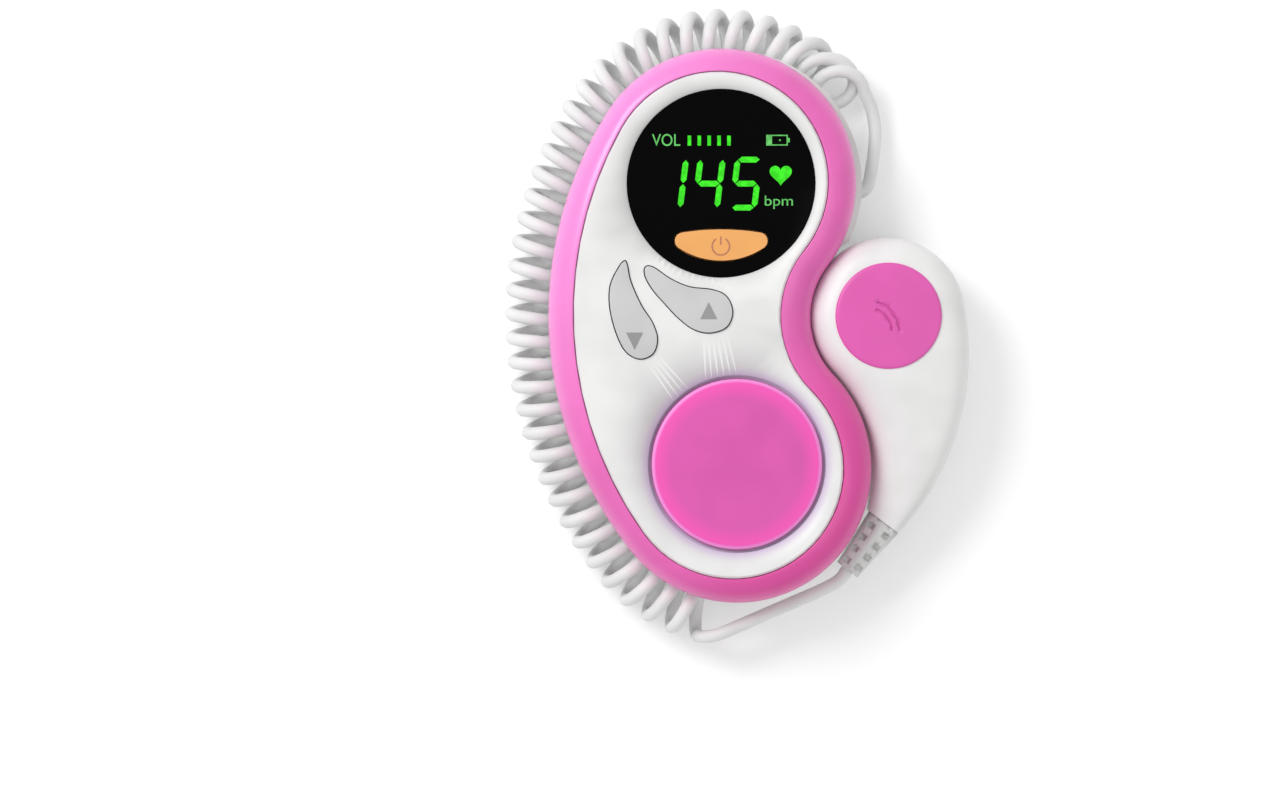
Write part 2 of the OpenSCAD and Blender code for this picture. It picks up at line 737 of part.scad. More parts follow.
// Both leads start and end straight, square to the curls, the gland and the strain relief
body_route = [
    coil_end,
    coil_end + cord_d * coil_end_way,
    [40.9, 49.5, 12], [40.4, 43, 10.5], [39.4, 37.2, 9], [38.7, 34.6, 8.3],
    gland_at + [cord_d, 0, 0],
    gland_at
];
probe_route = [
    coil_start,
    coil_start - cord_d * coil_start_way,
    [7.6, -75.6, 2.2], [15, -72.2, 4.3], [22, -68.8, 7.6], [27.6, -65.6, 11],
    relief_end + cord_d * relief_way,
    relief_end
];
module body_lead() { color("lightgray") tube(body_route, cord_d, 8); }
module curly_cord() { color("lightgray") tube(coil_path, cord_d, 6); }
module probe_lead() { color("lightgray") tube(probe_route, cord_d, 8); }

// ---- probe, drawn by angle round the lower lobe, whose curve its inner side follows ----
// How far off the head's centre line its round edge is at an angle, for a head of radius r
function head_half(a, r) = sqrt(max(0, r * r - pow(head_far * sin(a - head_turn), 2)));
function head_outer(a, r) = head_far * cos(a - head_turn) + head_half(a, r);
function head_inner(a, r) = head_far * cos(a - head_turn) - head_half(a, r);
function smooth(t) = t * t * (3 - 2 * t);
// The tail's outer edge runs smoothly from its end to the head's circle
tail_slope = 0.22;
function tail_outer(a) = let (
        run = blend_turn - tail_from,
        t = (a - tail_from) / run,
        slope = head_outer(blend_turn + 0.5, probe_r) - head_outer(blend_turn - 0.5, probe_r))
    (2 * pow(t, 3) - 3 * t * t + 1) * (lobe_r + tail_w)
    + (pow(t, 3) - 2 * t * t + t) * run * tail_slope
    + (3 * t * t - 2 * pow(t, 3)) * head_outer(blend_turn, probe_r)
    + (pow(t, 3) - t * t) * run * slope;
function outer_edge(a, inset) =
    a < blend_turn ? tail_outer(a) - inset : head_outer(a, probe_r - inset);
function inner_edge(a, inset) = a < head_turn
    ? tail_in + inset + tail_lift * smooth(max(0, min(1, -a / tail_reach)))
    : head_inner(a, probe_r - inset);
// Share of the full height at an angle: lower along the tail, rounded at the head's far side
squareness = 3.4;
function height_share(a, inset) = a < head_turn
    ? mix(tail_height, 1, smooth((a - tail_from) / (head_turn - tail_from)))
    : pow(1 - pow(min(1, head_far * sin(a - head_turn) / (probe_r - inset)), squareness),
        1 / squareness);
tail_steps = 14;
head_steps = 9;
// Angles of the cross-sections, from the tail to just short of the head's far side
function station_turns(from, inset) = concat(
    [for (i = [0:tail_steps - 1]) mix(from, head_turn, i / tail_steps)],
    [for (i = [0:head_steps])
        head_turn + asin(sin(86.5 * i / head_steps) * (probe_r - inset) / head_far)]);
// One cross-section: half of a squared oval between the two edges, cut flat at the given height
section_steps = 12;
function bulge(c) = pow(abs(c), 2 / squareness);
function half_section(a, rise, flat, inset) = let (
        inner = inner_edge(a, inset),
        outer = outer_edge(a, inset),
        mid = (inner + outer) / 2,
        half = (outer - inner) / 2,
        full = (abs(rise) - inset) * height_share(a, inset))
    [for (i = [0:section_steps])
        let (q = 180 * i / section_steps,
            r = mid - sign(cos(q)) * half * bulge(cos(q)),
            z = min(full * bulge(sin(q)), flat),
            at = pole + r * turn(a))
        [at[0], at[1], probe_z + sign(rise) * z]];
// Half of the probe's body, above or below its widest line, drawn in by an inset
module half_pebble(rise, flat, inset, from) {
    loops = [for (a = station_turns(from, inset)) half_section(a, rise, flat, inset)];
    skin(rise < 0 ? [for (l = loops) [for (i = [section_steps:-1:0]) l[i]]] : loops);
}
module tail_cut() {
    translate([joint_at[0], joint_at[1], 0]) rotate([0, 0, relief_turn])
        translate([0, -30, -1]) cube([60, 60, through]);
}
// The room inside a half, with the screw bosses left standing in it
module probe_room(rise, flat) {
    difference() {
        half_pebble(rise, flat, probe_wall, tail_turn + 7);
        for (p = probe_screw_places)
            translate([p[0], p[1], -1]) cylinder(r = 3, h = through);
    }
}
module over_head(z) {
    translate([head_at[0], head_at[1], z]) children();
}
module probe_top_shell() {
    color("white")
    difference() {
        half_pebble(probe_rise, disc_flat, 0, tail_from);
        tail_cut();
        probe_room(probe_rise, disc_flat - probe_wall);
        over_head(disc_z - disc_seat) cylinder(r = disc_r + hair, h = through);
        for (p = probe_screw_places)
            translate([p[0], p[1], 0]) cylinder(r = probe_screw_r + hair, h = probe_z + 4);
    }
}
module probe_bottom_shell() {
    color("white")
    difference() {
        half_pebble(-probe_drop, probe_drop - 0.4, 0, tail_from);
        tail_cut();
        probe_room(-probe_drop, probe_z - lens_seat);
        over_head(-1) cylinder(r = lens_r + hair, h = through);
        over_head(lens_seat) cylinder(r = lens_r + lens_lip + hair, h = through);
        for (p = probe_screw_places) {
            translate([p[0], p[1], -1]) cylinder(r = probe_head_r + 0.2, h = probe_seat_z + 1);
            translate([p[0], p[1], -1]) cylinder(r = probe_screw_r + 0.15, h = through);
        }
    }
}
// An arc cut into the disc's face, about a point to the lower left of its middle
groove_w = 0.5;
arcs_at = [-4.6, -3.7];
module disc_groove(r) {
    translate([arcs_at[0], arcs_at[1], disc_seat + 0.4]) rotate_extrude(angle = 75)
        translate([r, 0]) square([groove_w, 2]);
}
module probe_disc() {
    color("hotpink")
    over_head(disc_z - disc_seat)
        difference() {
            rotate_extrude()
                polygon(concat([[0, 0], [disc_r, 0]],
                    [for (a = [0:18:90])
                        [disc_r - 1.2 * (1 - cos(a)), disc_seat + 0.5 * sin(a)]],
                    [[0, disc_seat + 0.8]]));
            disc_groove(5.1);
            disc_groove(6.9);
        }
}
module probe_lens() {
    low = probe_z - probe_drop;
    rim = lens_seat + hair;
    color("lightsteelblue")
    over_head(0)
        rotate_extrude()
            polygon([[0, low - 0.5], [lens_r * 0.6, low - 0.3], [lens_r, low + 0.6],
                [lens_r, rim], [lens_r + lens_lip, rim], [lens_r + lens_lip, rim + 0.8],
                [lens_r - 2, rim + 0.8], [lens_r - 2, cup_z], [0, cup_z]]);
}
module transducer_crystals() {
    color("darkkhaki")
    over_head(cup_z)
        difference() {
            cylinder(r = lens_r - 3, h = crystal_t);
            translate([-0.5, -through, -1]) cube([1, 2 * through, through]);
        }
}
module transducer_backing() {
    color("dimgray")
    over_head(cup_z + crystal_t) cylinder(r = lens_r - 2 - hair, h = backing_t);
}
module probe_board() {
    color("darkgreen")
    over_head(cup_z + crystal_t + backing_t) {
        cylinder(r = lens_r, h = 1.2);
        translate([-4, -4, 0]) cube([8, 8, 2.4]);
    }
}
module probe_screws() {
    color("silver")
    for (p = probe_screw_places)
        translate([p[0], p[1], probe_seat_z - 1.5]) {
            cylinder(r = probe_head_r, h = 1.5);
            cylinder(r = probe_screw_r, h = 8);
        }
}
// The relief's cross-section, a squared oval at a distance along it: [distance, width, height]
relief_levels = [[hair, 9, 7.6], [8.8, 7.2, 6.8], [relief_l, 6.2, 5.8]];
function relief_loop(s) = [for (k = [0:23])
    let (c = cos(15 * k), d = sin(15 * k))
    [s[0], sign(c) * pow(abs(c), 0.6) * s[1] / 2, sign(d) * pow(abs(d), 0.6) * s[2] / 2]];
slot_rows = 4;
slot_pitch = 3.4;
module probe_strain_relief() {
    color("whitesmoke")
    translate([joint_at[0], joint_at[1], probe_z]) rotate([0, 0, relief_turn])
        difference() {
            skin([for (s = relief_levels) relief_loop(s)]);
            for (k = [0:slot_rows - 1], side = [-1, 1], face = [-1, 1])
                translate([2.5 + slot_pitch * k, side * (2.25 - 0.17 * k), face * 4.2])
                    cube([1.5, 1.9, 4.2], center = true);
        }
}

rear_shell();
bezel_ring();
face_panel();
display_window();
power_button();
volume_down_button();
volume_up_button();
speaker_cover();
battery_door();
battery_cells();
battery_springs();
battery_contacts();
housing_screws();
main_board();
tact_switches();
lcd_module();
backlight();
display_frame();
speaker();
speaker_gasket();
headphone_jack();
cord_gland();
body_lead();
curly_cord();
probe_lead();
probe_top_shell();
probe_bottom_shell();
probe_disc();
probe_lens();
transducer_crystals();
transducer_backing();
probe_board();
probe_screws();
probe_strain_relief();
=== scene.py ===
"""Fetal doppler monitor: the finish of every surface, the smooth casings, the display and the curly cord."""
import math

import bmesh
import bpy
from mathutils import Matrix, Vector


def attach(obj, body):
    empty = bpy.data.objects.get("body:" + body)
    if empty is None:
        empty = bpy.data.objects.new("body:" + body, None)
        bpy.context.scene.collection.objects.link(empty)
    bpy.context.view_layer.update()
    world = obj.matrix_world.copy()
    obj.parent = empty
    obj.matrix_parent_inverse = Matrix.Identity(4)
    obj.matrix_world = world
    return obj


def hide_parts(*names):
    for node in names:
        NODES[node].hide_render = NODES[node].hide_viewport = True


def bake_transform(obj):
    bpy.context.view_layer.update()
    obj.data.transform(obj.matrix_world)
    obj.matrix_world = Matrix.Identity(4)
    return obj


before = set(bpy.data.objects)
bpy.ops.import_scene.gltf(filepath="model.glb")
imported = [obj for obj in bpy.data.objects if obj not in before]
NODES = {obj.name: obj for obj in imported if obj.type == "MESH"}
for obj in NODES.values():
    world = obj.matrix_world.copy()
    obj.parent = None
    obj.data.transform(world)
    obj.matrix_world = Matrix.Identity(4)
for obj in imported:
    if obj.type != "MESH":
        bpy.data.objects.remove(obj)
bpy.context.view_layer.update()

# ---------------------------------------------------------------- camera, straight above the face
VIEW_AT = (-0.0186, -0.0181)     # the middle of the picture
VIEW_WIDTH = 0.3091              # how much the picture shows across, at the panel's height
VIEW_LEVEL = 0.022
LENS = 120.0
SENSOR = 36.0


def make_camera():
    data = bpy.data.cameras.new("camera")
    data.lens, data.sensor_width = LENS, SENSOR
    data.clip_start, data.clip_end = 0.05, 20
    camera = bpy.data.objects.new("camera", data)
    camera.location = (*VIEW_AT, VIEW_LEVEL + VIEW_WIDTH * LENS / SENSOR)
    bpy.context.scene.collection.objects.link(camera)
    bpy.context.scene.camera = camera


make_camera()
bpy.context.scene.view_settings.view_transform = "Standard"

# ---------------------------------------------------------------- the main unit's bean outline
LOBE_R, WAIST_R, BACK_R = 0.0328, 0.0204, 0.0925
LOBE_SPAN = 0.0694               # from one lobe's centre to the other's, along the unit
LOBE_LEAN = 0.0037               # how far the upper lobe stands left of the lower one
LOBE_X = 0.0042
LOBE_STEPS, BACK_STEPS, WAIST_STEPS = 72, 44, 36


def turn(angle):
    """The flat direction at an angle."""
    return Vector((math.cos(angle), math.sin(angle)))


def angle_of(v):
    return math.atan2(v.y, v.x)


def mix(a, b, t):
    return a * (1 - t) + b * t


def arc(centre, r, start, end, steps):
    return [centre + r * turn(mix(start, end, i / steps)) for i in range(steps)]


class Bean:
    """Two lobes, a back curve and a waist, each tangent to the next."""

    def __init__(self, lobe=LOBE_R, waist=WAIST_R, back=BACK_R, shift=0.0):
        self.size = (lobe, waist, back, shift)
        middle = Vector((LOBE_X + shift, 0))
        half = Vector((-LOBE_LEAN, LOBE_SPAN)) / 2
        right = Vector((LOBE_SPAN, LOBE_LEAN)).normalized()
        self.top, self.low = middle + half, middle - half
        self.back = middle + right * math.sqrt((back - lobe) ** 2 - half.length_squared)
        self.waist = middle + right * math.sqrt((lobe + waist) ** 2 - half.length_squared)
        self.waist_top = angle_of(self.top - self.waist)
        self.waist_low = angle_of(self.low - self.waist) + math.tau
        self.back_top = angle_of(self.top - self.back)
        self.back_low = angle_of(self.low - self.back) + math.tau

    def grown(self, d):
        """The same bean, wider by d all round."""
        lobe, waist, back, shift = self.size
        return Bean(lobe + d, waist - d, back + d, shift)

    def points(self, z):
        """The outline at a height, anticlockwise from the upper lobe's side of the waist."""
        lobe, waist, back, _ = self.size
        flat = (arc(self.top, lobe, self.waist_top - math.pi, self.back_top, LOBE_STEPS)
                + arc(self.back, back, self.back_top, self.back_low, BACK_STEPS)
                + arc(self.low, lobe, self.back_low, self.waist_low + math.pi, LOBE_STEPS)
                + arc(self.waist, waist, self.waist_low, self.waist_top, WAIST_STEPS))
        return [Vector((p.x, p.y, z)) for p in flat]


RING_LINE = Bean()
LOBE_IN, WAIST_IN, BACK_IN = 0.0062, 0.005, 0.0009    # how far the panel's outline lies inside the ring's
PANEL_SHIFT = -0.001
PANEL_LINE = Bean(LOBE_R - LOBE_IN, WAIST_R + WAIST_IN, BACK_R - BACK_IN, PANEL_SHIFT)

# ---------------------------------------------------------------- the cord: lead, curls, lead
CORD_D = 0.0032
CURL_R = 0.0057
CURLS = 38
TABLE_GAP = 0.0001
COIL_Z = CURL_R + CORD_D / 2 + TABLE_GAP
COIL_FROM, COIL_TO = math.radians(257), math.radians(38)    # round the lower and the upper lobe
COIL_OUT = 0.0037
COIL_LINE = RING_LINE.grown(COIL_OUT)
CURL_POINTS = 20
TOP_LEAN = math.radians(9)       # the curls round the upper lobe lean a little
TOP_CURLS, TOP_EASES = 14, 5     # how many they are, and how many of them ease into it
LAST_LEAN = math.radians(48)     # the last ones tip over and show their eyes
LAST_TWIST = math.radians(36)    # and turn towards the right
FULL_LEAN = 0.8                  # how much of the last curl lies fully over
LEANING = 2.2                    # how many curls tip before it
LAST_OUT = 0.0012                # how far the last curl stands out
LAST_AHEAD = 0.0022              # how far the curls before its end lie ahead of their places
AHEAD_FROM, AHEAD_IN, AHEAD_OUT = 2.2, 1.5, 0.7    # in curls: where that starts, eases in and eases out
DOOR_ROOM = 0.0021               # the first curls lie this much higher, clear of the battery door's way
DOOR_CURLS, DOOR_EASES = 3.5, 2  # how many they are, and how many come down again
GLAND_AT = Vector((0.033608, 0.0332, 0.008))
RELIEF_TURN = math.radians(232.4)
RELIEF_WAY = Vector((math.cos(RELIEF_TURN), math.sin(RELIEF_TURN), 0))
RELIEF_END = Vector((0.03328, -0.05975, 0.013))
ROUTE_STEPS = 8                  # points in each stretch of a lead
BODY_ROUTE = [(.0397, .0540, .0052), (.0406, .0490, .0047), (.0404, .0440, .0056),
              (.0397, .0393, .0068), (.0387, .0350, .0078)]
PROBE_ROUTE = [(-.0022, -.0763, .0105), (.0012, -.0758, .0123), (.0062, -.0738, .0127),
               (.0137, -.0705, .0128), (.0216, -.0671, .013), (.0275, -.0645, .013)]


def coil_place(s):
    """Centre, radius and angle of the curls' centre line at a distance along it."""
    lobe, _, back, _ = COIL_LINE.size
    low_run = (COIL_FROM - COIL_LINE.back_low) * lobe
    back_run = (COIL_LINE.back_low - COIL_LINE.back_top) * back
    if s < low_run:
        return COIL_LINE.low, lobe, COIL_FROM - s / lobe
    if s < low_run + back_run:
        return COIL_LINE.back, back, COIL_LINE.back_low - (s - low_run) / back
    return COIL_LINE.top, lobe, COIL_LINE.back_top - (s - low_run - back_run) / lobe


def coil_run():
    """The whole length of the curls' centre line."""
    lobe, _, back, _ = COIL_LINE.size
    return ((COIL_FROM - COIL_LINE.back_low + COIL_LINE.back_top - COIL_TO) * lobe
            + (COIL_LINE.back_low - COIL_LINE.back_top) * back)


def eased(t):
    """0 to 1, soft at both ends."""
    t = max(0.0, min(1.0, t))
    return t * t * (3 - 2 * t)


def curl_point(t):
    """A point of the curls, from the probe's end (t = 0) to the unit's end (t = 1)."""
    done, left = CURLS * t, CURLS * (1 - t)
    ahead = LAST_AHEAD * eased(left / AHEAD_OUT) * eased((AHEAD_FROM - left) / AHEAD_IN)
    centre, r, angle = coil_place(t * coil_run() + ahead)
    phase = math.tau * CURLS * t
    up = -math.sin(phase)
    last = eased(1 - (left - FULL_LEAN) / LEANING)
    lean = mix(TOP_LEAN * eased((TOP_CURLS - left) / TOP_EASES), LAST_LEAN, last)
    out = turn(angle - LAST_TWIST * last)
    onward = Vector((out.y, -out.x))
    flat = (centre + (r + LAST_OUT * last) * turn(angle) + CURL_R * math.cos(phase) * out
            - CURL_R * up * math.sin(lean) * onward)
    raised = DOOR_ROOM * eased((DOOR_CURLS + DOOR_EASES - done) / DOOR_EASES)
    return Vector((flat.x, flat.y, COIL_Z + raised + CURL_R * up * math.cos(lean)))


def smooth_route(points):
    """A smooth curve through the route's points (Catmull-Rom)."""
    p = [2 * points[0] - points[1], *points, 2 * points[-1] - points[-2]]
    found = []
    for a, b, c, d in zip(p, p[1:], p[2:], p[3:]):
        for k in range(ROUTE_STEPS):
            t = k / ROUTE_STEPS
            found.append(0.5 * (2 * b + (c - a) * t + (2 * a - 5 * b + 4 * c - d) * t * t
                                + (3 * b - a - 3 * c + d) * t ** 3))
    return [*found, points[-1]]


def make_cord(name, points):
    """A round cord as one open spline."""
    data = bpy.data.curves.new(name, "CURVE")
    data.dimensions = "3D"
    data.bevel_depth = CORD_D / 2
    data.bevel_resolution = 5
    data.use_fill_caps = True
    spline = data.splines.new("POLY")
    spline.points.add(len(points) - 1)
    for slot, p in zip(spline.points, points):
        slot.co = (*p, 1)
    spline.use_smooth = True
    made = bpy.data.objects.new(name, data)
    bpy.context.scene.collection.objects.link(made)
    return made


def as_mesh(piece):
    """The same piece as a mesh at the origin."""
    bpy.context.view_layer.update()
    evaluated = piece.evaluated_get(bpy.context.evaluated_depsgraph_get())
    mesh = bpy.data.meshes.new_from_object(evaluated)
    mesh.transform(piece.matrix_world)
    name = piece.name
    bpy.data.objects.remove(piece)
    made = bpy.data.objects.new(name, mesh)
    mesh.name = name
    bpy.context.scene.collection.objects.link(made)
    return made


def led_from(end, before, route):
    """A route that leaves a curl's end in the curl's own direction."""
    way = (end - before).normalized()
    return smooth_route([end - CORD_D * way, end, *map(Vector, route)])[ROUTE_STEPS:]


curl_path = [curl_point(i / (CURL_POINTS * CURLS)) for i in range(CURL_POINTS * CURLS + 1)]
body_path = led_from(curl_path[-1], curl_path[-2],
                     [*BODY_ROUTE, GLAND_AT + Vector((CORD_D, 0, 0)), GLAND_AT])
probe_path = led_from(curl_path[0], curl_path[1],
                      [*PROBE_ROUTE, RELIEF_END + CORD_D * RELIEF_WAY, RELIEF_END])
wound_path = [*curl_path, *body_path[1:]]

wound_cord = make_cord("wound_cord", wound_path)
probe_cord = as_mesh(make_cord("probe_cord", probe_path))

# ---------------------------------------------------------------- node groups and materials


def paint(r, g, b):
    """A colour as it looks on a screen, 0 to 255, made linear."""
    def linear(v):
        v /= 255
        return v / 12.92 if v <= 0.04045 else ((v + 0.055) / 1.055) ** 2.4
    return (linear(r), linear(g), linear(b), 1.0)


def put(tree, kind, feeds=None, **settings):
    """Adds a node, sets its options and feeds its sockets with values or with other nodes' outputs."""
    made = tree.nodes.new(kind)
    for key, value in settings.items():
        setattr(made, key, value)
    for socket, source in (feeds or {}).items():
        if isinstance(source, bpy.types.NodeSocket):
            tree.links.new(source, made.inputs[socket])
        else:
            made.inputs[socket].default_value = source
    return made


def maths(tree, operation, *values):
    return put(tree, "ShaderNodeMath", dict(enumerate(values)), operation=operation).outputs[0]


def ranged(tree, value, low, high, to_low=0.0, to_high=1.0):
    """A value's share of a range, eased at both ends."""
    feeds = {"Value": value, 1: low, 2: high, 3: to_low, 4: to_high}
    return put(tree, "ShaderNodeMapRange", feeds, interpolation_type="SMOOTHSTEP").outputs[0]


def blended(tree, share, a, b):
    """Colour a turning into colour b."""
    return put(tree, "ShaderNodeMix", {0: share, 6: a, 7: b}, data_type="RGBA").outputs[2]


def new_group(name, inputs, outputs):
    """An empty node group of number sockets: inputs are {name: default}, outputs are names."""
    tree = bpy.data.node_groups.new(name, "ShaderNodeTree")
    for key, value in inputs.items():
        made = tree.interface.new_socket(key, in_out="INPUT", socket_type="NodeSocketFloat")
        made.default_value = value
    for key in outputs:
        tree.interface.new_socket(key, in_out="OUTPUT", socket_type="NodeSocketFloat")
    return tree, tree.nodes.new("NodeGroupInput").outputs, tree.nodes.new("NodeGroupOutput").inputs


def object_place(tree):
    return put(tree, "ShaderNodeTexCoord").outputs["Object"]


def moulded_group():
    """Fine spark-eroded grain of a mould, with slow waves where the wall has sunk a little."""
    tree, given, out = new_group("moulded_grain", {"Grain": 5000.0, "Waves": 0.25}, ["Height", "Mottle"])
    place = object_place(tree)
    fine = put(tree, "ShaderNodeTexNoise", {"Vector": place, "Scale": given["Grain"], "Detail": 2.0})
    slow = put(tree, "ShaderNodeTexNoise", {"Vector": place, "Scale": 90.0, "Detail": 1.0})
    waves = maths(tree, "MULTIPLY", slow.outputs[0], given["Waves"])
    tree.links.new(maths(tree, "ADD", fine.outputs[0], waves), out["Height"])
    tree.links.new(ranged(tree, slow.outputs[0], 0.3, 0.7), out["Mottle"])
    return tree


def wear_group():
    """Where hands have worn a surface: lighter edges, fine scratches and faint smudges."""
    tree, given, out = new_group("wear", {"Edge": 0.00025, "Scratches": 0.5}, ["Edges", "Marks"])
    place = object_place(tree)
    soft = put(tree, "ShaderNodeBevel", {"Radius": given["Edge"]}, samples=3).outputs[0]
    true = put(tree, "ShaderNodeNewGeometry").outputs["Normal"]
    agree = put(tree, "ShaderNodeVectorMath", {0: soft, 1: true}, operation="DOT_PRODUCT").outputs["Value"]
    broken = put(tree, "ShaderNodeTexNoise", {"Vector": place, "Scale": 900.0, "Detail": 4.0}).outputs[0]
    edges = ranged(tree, agree, 0.8, 0.98, 0.45, 0.0)
    tree.links.new(maths(tree, "MULTIPLY", edges, ranged(tree, broken, 0.35, 0.6)), out["Edges"])
    stretched = put(tree, "ShaderNodeMapping", {"Vector": place, "Rotation": (0.1, 0.2, 0.7),
                                                "Scale": (4000.0, 90.0, 300.0)})
    lines = put(tree, "ShaderNodeTexNoise", {"Vector": stretched.outputs[0], "Scale": 1.0, "Detail": 1.0})
    scratches = maths(tree, "MULTIPLY", ranged(tree, lines.outputs[0], 0.68, 0.74), given["Scratches"])
    smudge = put(tree, "ShaderNodeTexNoise", {"Vector": place, "Scale": 45.0, "Detail": 5.0,
                                              "Roughness": 0.65}).outputs[0]
    tree.links.new(maths(tree, "ADD", scratches, ranged(tree, smudge, 0.45, 0.75, 0.0, 0.5)), out["Marks"])
    return tree


def from_point_group():
    """Distance from a point, across the face."""
    tree, given, out = new_group("from_point", {"X": 0.0, "Y": 0.0}, ["Distance"])
    place = put(tree, "ShaderNodeSeparateXYZ", {0: object_place(tree)}).outputs
    x = maths(tree, "SUBTRACT", place[0], given["X"])
    y = maths(tree, "SUBTRACT", place[1], given["Y"])
    squares = maths(tree, "ADD", maths(tree, "MULTIPLY", x, x), maths(tree, "MULTIPLY", y, y))
    tree.links.new(maths(tree, "SQRT", squares), out["Distance"])
    return tree


MOULDED, WEAR, FROM_POINT = moulded_group(), wear_group(), from_point_group()


def new_material(name):
    material = bpy.data.materials.new(name)
    material.use_nodes = True
    tree = material.node_tree
    return material, tree, tree.nodes["Principled BSDF"]


def group_in(tree, group, **feeds):
    """A shared group's outputs in a material, with the material's own values."""
    return put(tree, "ShaderNodeGroup", feeds, node_tree=group).outputs


MOTTLED = 0.93                   # how dark the mottled parts of a plastic are, against the rest
WORN_PALER = 0.35                # how much paler worn edges are
MARKS_DULL = 0.14                # how much scratches and smudges roughen a plastic


def plastic(name, colour, worn=None, roughness=0.35, grain=5000.0, relief=0.00002, gloss=0.0,
            tint=None, scratches=0.5, specular=0.5):
    """A moulded plastic. tint(tree, colour) may paint highlights and shade into its colour over the surface.
    """
    material, tree, shader = new_material(name)
    moulded = group_in(tree, MOULDED, Grain=grain)
    wear = group_in(tree, WEAR, Scratches=scratches)
    shade = tuple(c * MOTTLED for c in colour[:3]) + (1.0,)
    base = blended(tree, moulded["Mottle"], colour, shade)
    if tint:
        base = tint(tree, base)
    pale = worn or tuple(mix(c, 1, WORN_PALER) for c in colour[:3]) + (1.0,)
    base = blended(tree, wear["Edges"], base, pale)
    tree.links.new(base, shader.inputs["Base Color"])
    marks = maths(tree, "MULTIPLY_ADD", wear["Marks"], MARKS_DULL, roughness)
    tree.links.new(marks, shader.inputs["Roughness"])
    bump = put(tree, "ShaderNodeBump", {"Strength": 0.35, "Distance": relief, "Height": moulded["Height"]})
    tree.links.new(bump.outputs[0], shader.inputs["Normal"])
    shader.inputs["Coat Weight"].default_value = gloss
    shader.inputs["Coat Roughness"].default_value = 0.12
    shader.inputs["Specular IOR Level"].default_value = specular
    return material


def metal(name, colour, roughness):
    """A brushed metal, with its lines along y."""
    material, tree, shader = new_material(name)
    place = put(tree, "ShaderNodeMapping", {"Vector": object_place(tree), "Scale": (1.0, 0.05, 1.0)})
    lines = put(tree, "ShaderNodeTexNoise", {"Vector": place.outputs[0], "Scale": 2500.0, "Detail": 3.0})
    wear = group_in(tree, WEAR, Scratches=1.0)
    dull = tuple(c * 0.75 for c in colour[:3]) + (1.0,)
    tree.links.new(blended(tree, ranged(tree, lines.outputs[0], 0.3, 0.7), colour, dull),
                   shader.inputs["Base Color"])
    tree.links.new(maths(tree, "MULTIPLY_ADD", wear["Marks"], 0.2, roughness), shader.inputs["Roughness"])
    bump = put(tree, "ShaderNodeBump", {"Strength": 0.3, "Distance": 0.00001, "Height": lines.outputs[0]})
    tree.links.new(bump.outputs[0], shader.inputs["Normal"])
    shader.inputs["Metallic"].default_value = 1.0
    return material


def lit(name, colour):
    """A lit part of the display, slightly uneven as a real one is."""
    material, tree, shader = new_material(name)
    cells = put(tree, "ShaderNodeTexNoise", {"Vector": object_place(tree), "Scale": 700.0}).outputs[0]
    dim = tuple(c * 0.72 for c in colour[:3]) + (1.0,)
    glow = blended(tree, ranged(tree, cells, 0.35, 0.65), colour, dim)
    tree.links.new(glow, shader.inputs["Emission Color"])
    shader.inputs["Base Color"].default_value = (0.002, 0.006, 0.002, 1)
    shader.inputs["Emission Strength"].default_value = 1.0
    shader.inputs["Specular IOR Level"].default_value = 0.1
    return material


# The ring's second pink is a painted highlight and its third is painted shade
RING_PINK, RING_PAINTED_HIGHLIGHT, RING_PAINTED_SHADE = paint(238, 108, 190), paint(252, 150, 226), paint(222, 62, 152)
COVER_AT = (0.0059, -0.0336)     # the pink cover over the loudspeaker
COVER_R = 0.0206
HALO_W = 0.0034                  # how far its painted light reaches on the panel
# The cover's second and third pinks are painted highlights on its rounded edge and rim
COVER_PINK, COVER_EDGE_HIGHLIGHT, COVER_RIM_HIGHLIGHT = paint(222, 86, 176), paint(243, 84, 184), paint(244, 146, 220)
# Painted light: a lavender glow on the panel round the cover, and pink painted over the shade in the groove
HALO_PAINTED_LIGHT, GROOVE_PAINTED_LIGHT = paint(226, 210, 238), paint(252, 176, 230)


def ring_painted_light(tree, base):
    """The ring has painted light: a lighter pink as a painted highlight at its upper left, and a deeper pink
    as painted shade at its lower right.
    """
    place = put(tree, "ShaderNodeSeparateXYZ", {0: object_place(tree)}).outputs
    slant = maths(tree, "SUBTRACT", maths(tree, "MULTIPLY", place[1], 0.55), place[0])
    light = blended(tree, ranged(tree, slant, 0.005, 0.055, 0.0, 0.75), base, RING_PAINTED_HIGHLIGHT)
    return blended(tree, ranged(tree, slant, -0.005, -0.055, 0.0, 0.8), light, RING_PAINTED_SHADE)


def from_cover(tree):
    """Distance from the cover's middle."""
    return group_in(tree, FROM_POINT, X=COVER_AT[0], Y=COVER_AT[1])[0]


def painted_halo_tint(tree, base):
    """Painted pink light from the cover's edge on the panel round it, strongest in the groove, where it
    lightens the shade.
    """
    away = from_cover(tree)
    halo = blended(tree, ranged(tree, away, COVER_R + 0.0002, COVER_R + HALO_W, 1.0, 0.0), base, HALO_PAINTED_LIGHT)
    return blended(tree, ranged(tree, away, COVER_R + 0.0001, COVER_R + 0.0005, 1.0, 0.0), halo, GROOVE_PAINTED_LIGHT)


def cover_painted_highlights(tree, base):
    """The cover has painted highlights: brighter towards its edge, and a pale line on the rim."""
    away = from_cover(tree)
    bright = blended(tree, ranged(tree, away, COVER_R - 0.0055, COVER_R - 0.0012), base, COVER_EDGE_HIGHLIGHT)
    return blended(tree, ranged(tree, away, COVER_R - 0.0011, COVER_R - 0.0003), bright, COVER_RIM_HIGHLIGHT)


